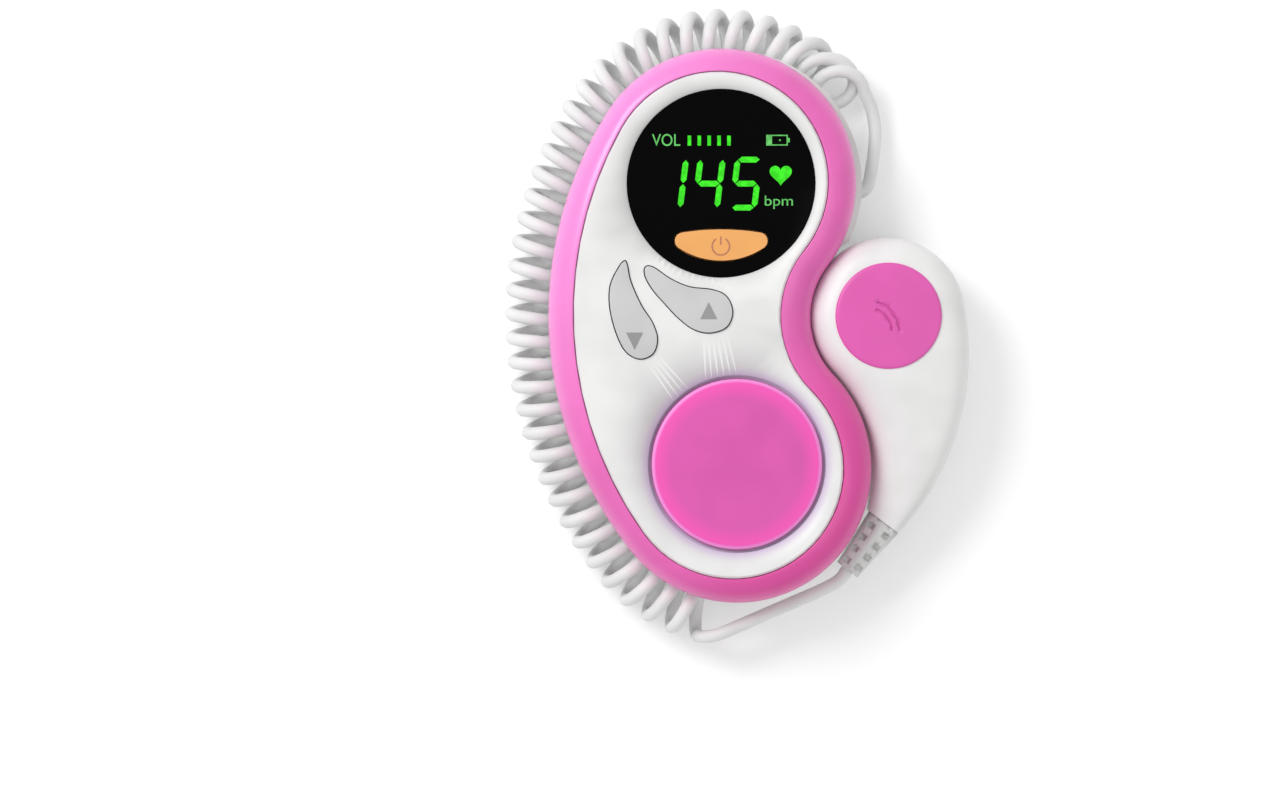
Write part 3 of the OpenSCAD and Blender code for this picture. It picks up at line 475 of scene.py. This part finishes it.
def make_materials():
    """Every material of the part, by a short name."""
    return {
        "white": plastic("white_casing", paint(238, 238, 237), roughness=0.38),
        "panel": plastic("face_panel_white", paint(236, 236, 235), roughness=0.42, tint=painted_halo_tint),
        "ring": plastic("ring_pink", RING_PINK, roughness=0.3, gloss=0.25, tint=ring_painted_light, grain=9000.0,
                        relief=0.00001),
        "cover": plastic("cover_pink", COVER_PINK, roughness=0.45, tint=cover_painted_highlights),
        "disc": plastic("disc_pink", paint(228, 92, 180), roughness=0.4),
        "window": plastic("window_black", paint(5, 5, 6), worn=paint(30, 30, 32), roughness=0.12,
                          relief=0.000004, specular=0.04, scratches=0.2),
        "orange": plastic("orange_cap", paint(244, 174, 98), roughness=0.4),
        "grey": plastic("grey_cap", paint(205, 205, 205), roughness=0.4),
        "print": plastic("grey_print", paint(150, 150, 150), roughness=0.6),
        "symbol": plastic("orange_print", paint(190, 118, 84), roughness=0.6),
        "cord": plastic("cord_jacket", paint(234, 235, 234), roughness=0.5, grain=3500.0),
        "rubber": plastic("relief_rubber", paint(222, 224, 222), roughness=0.6, grain=3000.0, relief=0.00004),
        "cell": plastic("cell_jacket", paint(70, 80, 92), roughness=0.35),
        "spring": metal("spring_steel", (0.62, 0.62, 0.64, 1.0), 0.25),
        "screw": metal("screw_steel", (0.5, 0.5, 0.52, 1.0), 0.35),
        "board": plastic("board_green", paint(20, 92, 50), roughness=0.45, grain=2500.0),
        "switch": plastic("switch_black", paint(36, 36, 38), roughness=0.5),
        "glass": plastic("display_glass", paint(34, 40, 36), roughness=0.08),
        "guide": plastic("light_guide", paint(236, 236, 220), roughness=0.3),
        "frame": plastic("frame_grey", paint(190, 192, 195), roughness=0.5),
        "speaker": plastic("speaker_black", paint(44, 44, 46), roughness=0.7, grain=2000.0, relief=0.00006),
        "foam": plastic("foam_black", paint(24, 24, 24), roughness=0.9, grain=1800.0, relief=0.0001),
        "jack": plastic("jack_black", paint(38, 38, 38), roughness=0.4),
        "lens": plastic("lens_blue_grey", paint(164, 176, 188), roughness=0.32),
        "ceramic": plastic("ceramic_tan", paint(184, 172, 128), roughness=0.7),
        "backing": plastic("backing_grey", paint(76, 76, 80), roughness=0.7),
        "digits": lit("lit_green", paint(70, 252, 44)),
        "icons": lit("lit_pale_green", paint(112, 214, 112)),
    }


M = make_materials()

# ---------------------------------------------------------------- helpers for the pieces
SHARP = math.radians(32)         # edges that turn more than this stay sharp


def finished(bm, name, material, body, replaces=()):
    """Closes a piece: one skin, normals outward, smooth faces with sharp corners, and its body."""
    bmesh.ops.remove_doubles(bm, verts=bm.verts, dist=2e-7)
    bmesh.ops.recalc_face_normals(bm, faces=bm.faces)
    mesh = bpy.data.meshes.new(name)
    bm.to_mesh(mesh)
    bm.free()
    for face in mesh.polygons:
        face.use_smooth = True
    mesh.set_sharp_from_angle(angle=SHARP)
    mesh.materials.append(material)
    piece = bpy.data.objects.new(name, mesh)
    bpy.context.scene.collection.objects.link(piece)
    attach(piece, body)
    if replaces:
        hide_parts(*replaces)


def loop_of(bm, points):
    """A closed loop of edges through points."""
    corners = [bm.verts.new(p) for p in points]
    return [bm.edges.new((a, b)) for a, b in zip(corners, corners[1:] + corners[:1])]


def loft(bm, loops):
    """Walls through closed loops of points: each is extruded from the one before and moved."""
    edges = loop_of(bm, loops[0])
    ring = [e.verts[0] for e in edges]
    for points in loops[1:]:
        made = bmesh.ops.extrude_edge_only(bm, edges=edges)["geom"]
        fresh = {v for v in made if isinstance(v, bmesh.types.BMVert)}
        ring = [next(e.other_vert(v) for e in v.link_edges if e.other_vert(v) in fresh) for v in ring]
        for corner, place in zip(ring, points):
            corner.co = place
        edges = [e for e in made if isinstance(e, bmesh.types.BMEdge) and fresh.issuperset(e.verts)]


def copied(node):
    """A CAD node's shape as a bmesh, with the corners that its triangles share merged."""
    bm = bmesh.new()
    bm.from_mesh(NODES[node].data)
    bmesh.ops.remove_doubles(bm, verts=bm.verts, dist=1e-6)
    return bm


def rounded(bm, r, low, segments=3):
    """Rounds the sharp edges whose ends both lie above a height."""
    found = [e for e in bm.edges if e.is_manifold and e.calc_face_angle(0) > SHARP
             and all(v.co.z > low for v in e.verts)]
    bmesh.ops.bevel(bm, geom=found, offset=r, segments=segments, profile=0.5, affect="EDGES",
                    clamp_overlap=True, material=-1)
    return bm


# ---------------------------------------------------------------- ring
SPLIT_Z, EDGE_Z, CROWN_Z = 0.017, 0.0205, 0.028    # its lower edge, its widest line and its top
PANEL_Z, PANEL_TOP = 0.0262, 0.0282                # the panel's underside and top
EDGE_IN = 0.0016                 # how far the lower edge lies inside the widest line
CROWN_TURN = math.radians(75)
RING_WALL = 0.002
LEDGE_W = 0.0032                 # the ledge that carries the panel
LEDGE_LOW = PANEL_Z - RING_WALL
PANEL_GAP = 0.00018
LIP_R = 0.00025                  # the small round at the ring's inner edge
CROWN_STEPS, LOWER_STEPS, LIP_STEPS = 18, 6, 4


def make_ring():
    """The ring as one section carried round the bean: side, crown, lip, ledge and inside."""
    pocket = PANEL_LINE.grown(PANEL_GAP)

    def crown(a):
        share = (1 - math.cos(a)) / (1 - math.cos(CROWN_TURN))
        z = mix(EDGE_Z, CROWN_Z, math.sin(a) / math.sin(CROWN_TURN))
        rim = pocket.grown(LIP_R).points(z)
        return [p.lerp(q, share) for p, q in zip(RING_LINE.points(z), rim)]

    lower = [RING_LINE.grown(-EDGE_IN * (1 - math.sin(math.pi / 2 * k / LOWER_STEPS)))
             .points(mix(SPLIT_Z, EDGE_Z, k / LOWER_STEPS)) for k in range(LOWER_STEPS)]
    crowned = [crown(CROWN_TURN * k / CROWN_STEPS) for k in range(CROWN_STEPS + 1)]
    lip = [pocket.grown(LIP_R * (1 - math.sin(math.pi / 2 * k / LIP_STEPS)))
           .points(CROWN_Z - LIP_R * (1 - math.cos(math.pi / 2 * k / LIP_STEPS)))
           for k in range(1, LIP_STEPS + 1)]
    ledge, hollow = PANEL_LINE.grown(-LEDGE_W), RING_LINE.grown(-EDGE_IN - RING_WALL)
    inside = [pocket.points(PANEL_Z), ledge.points(PANEL_Z), ledge.points(LEDGE_LOW),
              hollow.points(LEDGE_LOW), hollow.points(SPLIT_Z)]
    bm = bmesh.new()
    loft(bm, lower + crowned + lip + inside + lower[:1])
    finished(bm, "pink_ring", M["ring"], "main_unit", ["bezel_ring"])


make_ring()

# ---------------------------------------------------------------- casings and caps from the frame
WINDOW_ROUND, CAP_ROUND = 0.00008, 0.0004    # the rounds on the window's rim and on the buttons
CAP_RIM = PANEL_TOP + 0.0005                 # only edges above this are rounded on the buttons


def make_casings():
    """The main unit's outer pieces, each in the place of its node."""
    main = "main_unit"
    finished(copied("face_panel"), "front_panel", M["panel"], main, ["face_panel"])
    finished(copied("rear_shell"), "rear_casing", M["white"], main, ["rear_shell"])
    finished(copied("battery_door"), "battery_cover", M["white"], "battery_door",
             ["battery_door"])
    finished(rounded(copied("display_window"), WINDOW_ROUND, PANEL_TOP), "round_window", M["window"],
             main, ["display_window"])
    finished(copied("speaker_cover"), "sound_cover", M["cover"], main, ["speaker_cover"])
    finished(copied("cord_gland"), "cord_grommet", M["rubber"], main, ["cord_gland"])
    finished(copied("headphone_jack"), "headphone_socket", M["jack"], main, ["headphone_jack"])


def make_buttons():
    for name, material, slot in (("power_button", "orange", "orange_button"),
                                 ("volume_down_button", "grey", "grey_button"),
                                 ("volume_up_button", "grey", "grey_button")):
        bm = rounded(copied(name), CAP_ROUND, CAP_RIM, segments=4)
        finished(bm, name.replace("button", "cap"), M[material], name, [name])


make_casings()
make_buttons()

# ---------------------------------------------------------------- probe, by angle round the lower lobe
PROBE_R = 0.0193                 # the head's
PROBE_Z = 0.013                  # where its two casings meet
PROBE_RISE, PROBE_FLAT = 0.012, 0.0112    # the crown's height above that, and where its flat top cuts it
POLE = RING_LINE.low             # the angles are taken round this point
HEAD_SHIFT = Vector((-0.0016, 0.0002))
HEAD_AT = RING_LINE.waist + HEAD_SHIFT
HEAD_FAR = (HEAD_AT - POLE).length
HEAD_TURN = angle_of(HEAD_AT - POLE)
BLEND_TURN = HEAD_TURN - math.radians(9)
TAIL_TURN = math.radians(-20.3)
TAIL_FROM = TAIL_TURN - math.radians(9)
TAIL_REACH = math.radians(40)
TAIL_W, TAIL_LIFT, TAIL_HEIGHT, TAIL_SLOPE = 0.0082, 0.0018, 0.38, 0.0126
TAIL_STEPS, HEAD_STEPS, SECTION_STEPS = 44, 34, 48
LAST_STATION = math.radians(87.5)
SQUARENESS = 3.4                 # how square the head and its sections are: 2 would be an oval
TOP_EASE = 0.0008                # how softly the crown runs into the flat top
JOINT_OUT = 0.0058
JOINT_AT = POLE + (LOBE_R + JOINT_OUT) * turn(TAIL_TURN)    # where the strain relief begins


def head_half(a):
    """Half the head's width, along the ray at an angle."""
    return math.sqrt(max(0.0, PROBE_R ** 2 - (HEAD_FAR * math.sin(a - HEAD_TURN)) ** 2))


def head_outer(a):
    """The far side of the head's circle, along the ray at an angle."""
    return HEAD_FAR * math.cos(a - HEAD_TURN) + head_half(a)


def outer_edge(a):
    """The outer side: the head's circle, and a smooth run from there to the tail's end."""
    if a >= BLEND_TURN:
        return head_outer(a)
    run, step = BLEND_TURN - TAIL_FROM, 0.001
    t = (a - TAIL_FROM) / run
    slope = (head_outer(BLEND_TURN + step) - head_outer(BLEND_TURN - step)) / (2 * step)
    return ((2 * t ** 3 - 3 * t * t + 1) * (LOBE_R + TAIL_W) + (t ** 3 - 2 * t * t + t) * run * TAIL_SLOPE
            + (3 * t * t - 2 * t ** 3) * head_outer(BLEND_TURN) + (t ** 3 - t * t) * run * slope)


def inner_edge(a):
    """The inner side: the head's circle, and a steady run along the lobe to the tail."""
    if a >= HEAD_TURN:
        return HEAD_FAR * math.cos(a - HEAD_TURN) - head_half(a)
    return HEAD_FAR - PROBE_R + TAIL_LIFT * eased(-a / TAIL_REACH)


def height_share(a):
    """How high the casing rises at an angle, against its full height."""
    if a < HEAD_TURN:
        return mix(TAIL_HEIGHT, 1, eased((a - TAIL_FROM) / (HEAD_TURN - TAIL_FROM)))
    across = min(1.0, HEAD_FAR * math.sin(a - HEAD_TURN) / PROBE_R)
    return (1 - across ** SQUARENESS) ** (1 / SQUARENESS)


def soft_least(a, b, ease):
    """The lesser of two heights, with a soft run from one to the other."""
    h = max(0.0, min(1.0, 0.5 + 0.5 * (b - a) / ease))
    return mix(b, a, h) - ease * h * (1 - h)


def casing_section(a):
    """One cross-section of the upper casing: a squared half oval with a soft flat top."""
    inner, outer = inner_edge(a), outer_edge(a)
    middle, half = (inner + outer) / 2, (outer - inner) / 2
    crown = PROBE_RISE * height_share(a)
    found = []
    for i in range(SECTION_STEPS + 1):
        q = math.pi * i / SECTION_STEPS
        c, s = math.cos(q), math.sin(q)
        r = middle - math.copysign(half * abs(c) ** (2 / SQUARENESS), c)
        z = max(0.0, soft_least(crown * max(0.0, s) ** (2 / SQUARENESS), PROBE_FLAT, TOP_EASE))
        at = POLE + r * turn(a)
        found.append(Vector((at.x, at.y, PROBE_Z + z)))
    return found


def make_upper_casing():
    """The sections in a row, closed at the head and cut square where the strain relief begins."""
    tail = [mix(TAIL_FROM, HEAD_TURN, i / TAIL_STEPS) for i in range(TAIL_STEPS)]
    head = [HEAD_TURN + math.asin(math.sin(LAST_STATION * i / HEAD_STEPS) * PROBE_R / HEAD_FAR)
            for i in range(HEAD_STEPS + 1)]
    bm = bmesh.new()
    loft(bm, [casing_section(a) for a in tail + head])
    bmesh.ops.holes_fill(bm, edges=bm.edges)
    cut = bmesh.ops.bisect_plane(bm, geom=bm.verts[:] + bm.edges[:] + bm.faces[:], clear_outer=True,
                                 plane_co=(*JOINT_AT, 0), plane_no=RELIEF_WAY)["geom_cut"]
    bmesh.ops.holes_fill(bm, edges=[e for e in cut if isinstance(e, bmesh.types.BMEdge)])
    finished(bm, "probe_upper_casing", M["white"], "probe", ["probe_top_shell"])


def make_probe():
    """The upper casing, and the probe's other outer pieces in the place of their nodes."""
    make_upper_casing()
    for node, name, material, slot in (
            ("probe_bottom_shell", "probe_lower_casing", "white", "white_shell"),
            ("probe_disc", "probe_inlay", "disc", "pink_trim"),
            ("probe_lens", "probe_face", "lens", "lens_face"),
            ("probe_strain_relief", "probe_relief", "rubber", "relief_rubber")):
        finished(copied(node), name, M[material], "probe", [node])


make_probe()

# ---------------------------------------------------------------- display, thin shapes on its window
FACE_Z = 0.0283                  # the window's top
PRINT_T = 0.00003                # how thick the shapes are


def flat_shape(bm, outline, z):
    """A thin raised shape from its outline."""
    corners = [bm.verts.new((x, y, z)) for x, y in outline]
    face = bm.faces.new(corners)
    raised = bmesh.ops.extrude_face_region(bm, geom=[face])["geom"]
    up = [g for g in raised if isinstance(g, bmesh.types.BMVert)]
    bmesh.ops.translate(bm, verts=up, vec=(0, 0, PRINT_T))


DIGIT_W, DIGIT_H, STROKE = 0.0068, 0.0130, 0.0014
SLANT = math.radians(7)
BAR_CUT, BAR_GAP = STROKE * 0.58, STROKE * 0.08    # a bar's pointed end, and half the gap between bars
READING_LOW = 0.0277
READING = (("1", -0.0140), ("4", -0.0051), ("5", 0.0039))    # each figure and its left side
# Each bar runs from one corner of a figure eight to the next, in digit widths and half heights
SEGMENTS = {
    "top": ((0, 2), (1, 2)), "middle": ((0, 1), (1, 1)), "bottom": ((0, 0), (1, 0)),
    "upper_left": ((0, 1), (0, 2)), "upper_right": ((1, 1), (1, 2)),
    "lower_left": ((0, 0), (0, 1)), "lower_right": ((1, 0), (1, 1)),
}
FIGURES = {"1": ("upper_right", "lower_right"),
           "4": ("upper_left", "upper_right", "middle", "lower_right"),
           "5": ("top", "upper_left", "middle", "lower_right", "bottom")}


def segment(bm, corner, a, b):
    """One lit bar with pointed ends, slanted like the figure."""
    size = Vector((DIGIT_W - STROKE, (DIGIT_H - STROKE) / 2))
    start, end = (Vector(p) * size for p in (a, b))
    along = (end - start).normalized()
    across = Vector((-along.y, along.x)) * STROKE / 2
    start, end = start + along * BAR_GAP, end - along * BAR_GAP
    outline = [start, start + along * BAR_CUT + across, end - along * BAR_CUT + across, end,
               end - along * BAR_CUT - across, start + along * BAR_CUT - across]
    flat_shape(bm, [(corner[0] + p.x + (p.y + STROKE / 2) * math.tan(SLANT), corner[1] + p.y)
                    for p in outline], FACE_Z)


def make_figures():
    """The reading: three figures, each of up to seven lit bars."""
    bm = bmesh.new()
    for figure, left in READING:
        for bar in FIGURES[figure]:
            segment(bm, (left + STROKE / 2, READING_LOW + STROKE / 2), *SEGMENTS[bar])
    finished(bm, "reading", M["digits"], "main_unit")


def box_shape(bm, x, y, w, h):
    """A thin raised box from its lower left corner."""
    flat_shape(bm, [(x, y), (x + w, y), (x + w, y + h), (x, y + h)], FACE_Z)


HEART_STEPS = 36


def heart_outline(x, y, size):
    """A heart from its usual curve, 32 units wide before it is scaled to size."""
    found = []
    for k in range(HEART_STEPS):
        a = math.tau * k / HEART_STEPS
        wide = 16 * math.sin(a) ** 3
        high = 13 * math.cos(a) - 5 * math.cos(2 * a) - 2 * math.cos(3 * a) - math.cos(4 * a)
        found.append((x - wide * size / 32, y + high * size / 32))
    return found


ICONS_LOW = 0.0434               # the lower side of the level bars and of the battery
LEVEL_BARS, LEVEL_LEFT, LEVEL_PITCH = 5, -0.0060, 0.00239
LEVEL_W, LEVEL_H = 0.00085, 0.0024
HEART_AT, HEART_W = (0.0165, 0.0365), 0.0054


def make_level_and_heart():
    bm = bmesh.new()
    for k in range(LEVEL_BARS):
        box_shape(bm, LEVEL_LEFT + LEVEL_PITCH * k, ICONS_LOW, LEVEL_W, LEVEL_H)
    flat_shape(bm, heart_outline(*HEART_AT, HEART_W), FACE_Z)
    finished(bm, "level_and_heart", M["digits"], "main_unit")


def make_battery_sign():
    """A battery in outline, with its pole, a first bar of charge and a dot."""
    x, y, w, h, line = 0.0130, ICONS_LOW, 0.0052, 0.0026, 0.00028
    pole, inset, charge, dot = 0.0005, 0.0003, 0.0011, 0.0004
    bm = bmesh.new()
    box_shape(bm, x, y, w, line)
    box_shape(bm, x, y + h - line, w, line)
    box_shape(bm, x, y + line, line, h - 2 * line)
    box_shape(bm, x + w - line, y + line, line, h - 2 * line)
    box_shape(bm, x + w, y + h * 0.3, pole, h * 0.4)
    box_shape(bm, x + inset, y + inset, charge, h - 2 * inset)
    box_shape(bm, x + 0.0031, y + h / 2 - dot / 2, dot, dot)
    finished(bm, "battery_sign", M["icons"], "main_unit")


def make_label(name, words, x, y, width, height):
    """A short generic label in thin plain letters, fitted to a width and a height."""
    data = bpy.data.curves.new(name, "FONT")
    data.body = words
    data.extrude = 0.02
    made = bpy.data.objects.new(name, data)
    bpy.context.scene.collection.objects.link(made)
    label = as_mesh(made)
    low = Vector(label.bound_box[0])
    high = Vector(label.bound_box[6])
    size = high - low
    fit = Matrix.Diagonal((width / size.x, height / size.y, PRINT_T / size.z, 1))
    label.data.transform(Matrix.Translation((x, y, FACE_Z)) @ fit @ Matrix.Translation(-low))
    label.data.materials.clear()
    label.data.materials.append(M["icons"])
    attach(label, "main_unit")


make_figures()
make_level_and_heart()
make_battery_sign()
make_label("volume_label", "VOL", -0.0146, 0.0433, 0.0068, 0.0029)
make_label("rate_label", "bpm", 0.01265, 0.0281, 0.0068, 0.0032)

# ---------------------------------------------------------------- prints on the buttons
CAP_Z = PANEL_TOP + 0.0007       # the buttons' tops
ARROW_W, ARROW_H = 0.0042, 0.0042
SIGN_R, SIGN_LINE, SIGN_STEPS = 0.0021, 0.0004, 40
SIGN_OPEN = 32                   # degrees of gap on either side of the power sign's bar


def make_arrow(name, button, x, y, up):
    """A triangle that points up (1) or down (-1)."""
    half, tall = ARROW_W / 2 * up, ARROW_H * up
    bm = bmesh.new()
    flat_shape(bm, [(x - half, y - tall / 2), (x + half, y - tall / 2), (x, y + tall / 2)], CAP_Z)
    finished(bm, name, M["print"], button)


def make_power_sign():
    """An open ring with a bar in its gap."""
    x, y, r, line = 0.00202, 0.0190, SIGN_R, SIGN_LINE
    bm = bmesh.new()
    start = math.radians(90 + SIGN_OPEN)
    profile = bmesh.ops.create_grid(bm, x_segments=1, y_segments=1, size=line / 2)
    bmesh.ops.rotate(bm, verts=profile["verts"], matrix=Matrix.Rotation(math.pi / 2, 3, "X"))
    bmesh.ops.scale(bm, verts=profile["verts"], vec=(1, 1, PRINT_T / line))
    bmesh.ops.translate(bm, verts=profile["verts"], vec=(r, 0, PRINT_T / 2))
    bmesh.ops.rotate(bm, verts=profile["verts"], matrix=Matrix.Rotation(start, 3, "Z"))
    bmesh.ops.spin(bm, geom=bm.verts[:] + bm.edges[:] + bm.faces[:], cent=(0, 0, 0), axis=(0, 0, 1),
                   angle=math.radians(360 - 2 * SIGN_OPEN), steps=SIGN_STEPS, use_merge=False)
    bmesh.ops.translate(bm, verts=bm.verts, vec=(x, y, CAP_Z))
    bar_low, bar_top = y + 0.0004, y + r * 1.15
    flat_shape(bm, [(x - line / 2, bar_low), (x + line / 2, bar_low),
                    (x + line / 2, bar_top), (x - line / 2, bar_top)], CAP_Z)
    finished(bm, "power_sign", M["symbol"], "power_button")


make_arrow("down_arrow", "volume_down_button", -0.0188, -0.0039, -1)
make_arrow("up_arrow", "volume_up_button", -0.0009, 0.0035, 1)
make_power_sign()

# ---------------------------------------------------------------- the cord's finish, its body and the nodes it replaces
for piece in (wound_cord, probe_cord):
    piece.data.materials.clear()
    piece.data.materials.append(M["cord"])
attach(wound_cord, "main_unit")
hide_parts("curly_cord", "body_lead")
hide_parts("probe_lead")
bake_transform(probe_cord)

# ---------------------------------------------------------------- finishes of the pieces inside
INSIDE = {
    "battery_cells": "cell", "battery_springs": "spring", "battery_contacts": "spring",
    "housing_screws": "screw", "main_board": "board", "tact_switches": "switch", "lcd_module": "glass",
    "backlight": "guide", "display_frame": "frame", "speaker": "speaker", "speaker_gasket": "foam",
    "transducer_crystals": "ceramic", "transducer_backing": "backing", "probe_board": "board",
    "probe_screws": "screw",
}
for node, finish in INSIDE.items():
    NODES[node].data.materials.clear()
    NODES[node].data.materials.append(M[finish])

# ---------------------------------------------------------------- floor, lamps and world
FLOOR_SIZE, FLOOR_Z = 4.0, -0.00005
FLOOR_GLOW = 0.2                 # the floor's own light where the camera sees it, to bring it to white
SKY_LIGHT = 0.62                 # the sky's strength for all but the camera, which sees plain white


def make_floor():
    """A matt white floor under the part, lit up a little for the eye alone."""
    bm = bmesh.new()
    bmesh.ops.create_grid(bm, x_segments=1, y_segments=1, size=FLOOR_SIZE / 2)
    bmesh.ops.translate(bm, verts=bm.verts, vec=(0, 0, FLOOR_Z))
    mesh = bpy.data.meshes.new("floor")
    bm.to_mesh(mesh)
    bm.free()
    floor = bpy.data.objects.new("floor", mesh)
    bpy.context.scene.collection.objects.link(floor)
    material, tree, shader = new_material("floor_white")
    shader.inputs["Base Color"].default_value = (0.9, 0.9, 0.9, 1)
    shader.inputs["Roughness"].default_value = 0.9
    shader.inputs["Specular IOR Level"].default_value = 0.0
    seen = seen_by_eye(tree)
    tree.links.new(maths(tree, "MULTIPLY", seen, FLOOR_GLOW), shader.inputs["Emission Strength"])
    shader.inputs["Emission Color"].default_value = (1, 1, 1, 1)
    mesh.materials.append(material)


def seen_by_eye(tree):
    """1 where the camera sees a thing, also in a mirror or through glass."""
    ways = put(tree, "ShaderNodeLightPath").outputs
    either = maths(tree, "MAXIMUM", ways["Is Camera Ray"], ways["Is Glossy Ray"])
    return maths(tree, "MAXIMUM", either, ways["Is Transmission Ray"])


def make_world():
    world = bpy.data.worlds.new("sky")
    bpy.context.scene.world = world
    world.use_nodes = True
    tree = world.node_tree
    camera_only = put(tree, "ShaderNodeLightPath").outputs["Is Camera Ray"]
    strength = maths(tree, "MULTIPLY_ADD", camera_only, 1 - SKY_LIGHT, SKY_LIGHT)
    tree.links.new(strength, tree.nodes["Background"].inputs["Strength"])
    tree.nodes["Background"].inputs["Color"].default_value = (1, 1, 1, 1)


def make_lamp(name, place, size, watts):
    data = bpy.data.lights.new(name, "AREA")
    data.shape, data.size, data.energy = "DISK", size, watts
    lamp = bpy.data.objects.new(name, data)
    lamp.location = place
    lamp.rotation_euler = (-Vector(place)).to_track_quat("-Z", "Y").to_euler()
    bpy.context.scene.collection.objects.link(lamp)


make_floor()
make_world()
make_lamp("key", (-0.55, 0.45, 0.75), 0.5, 5.2)
make_lamp("fill", (0.5, -0.2, 0.9), 0.7, 1.0)
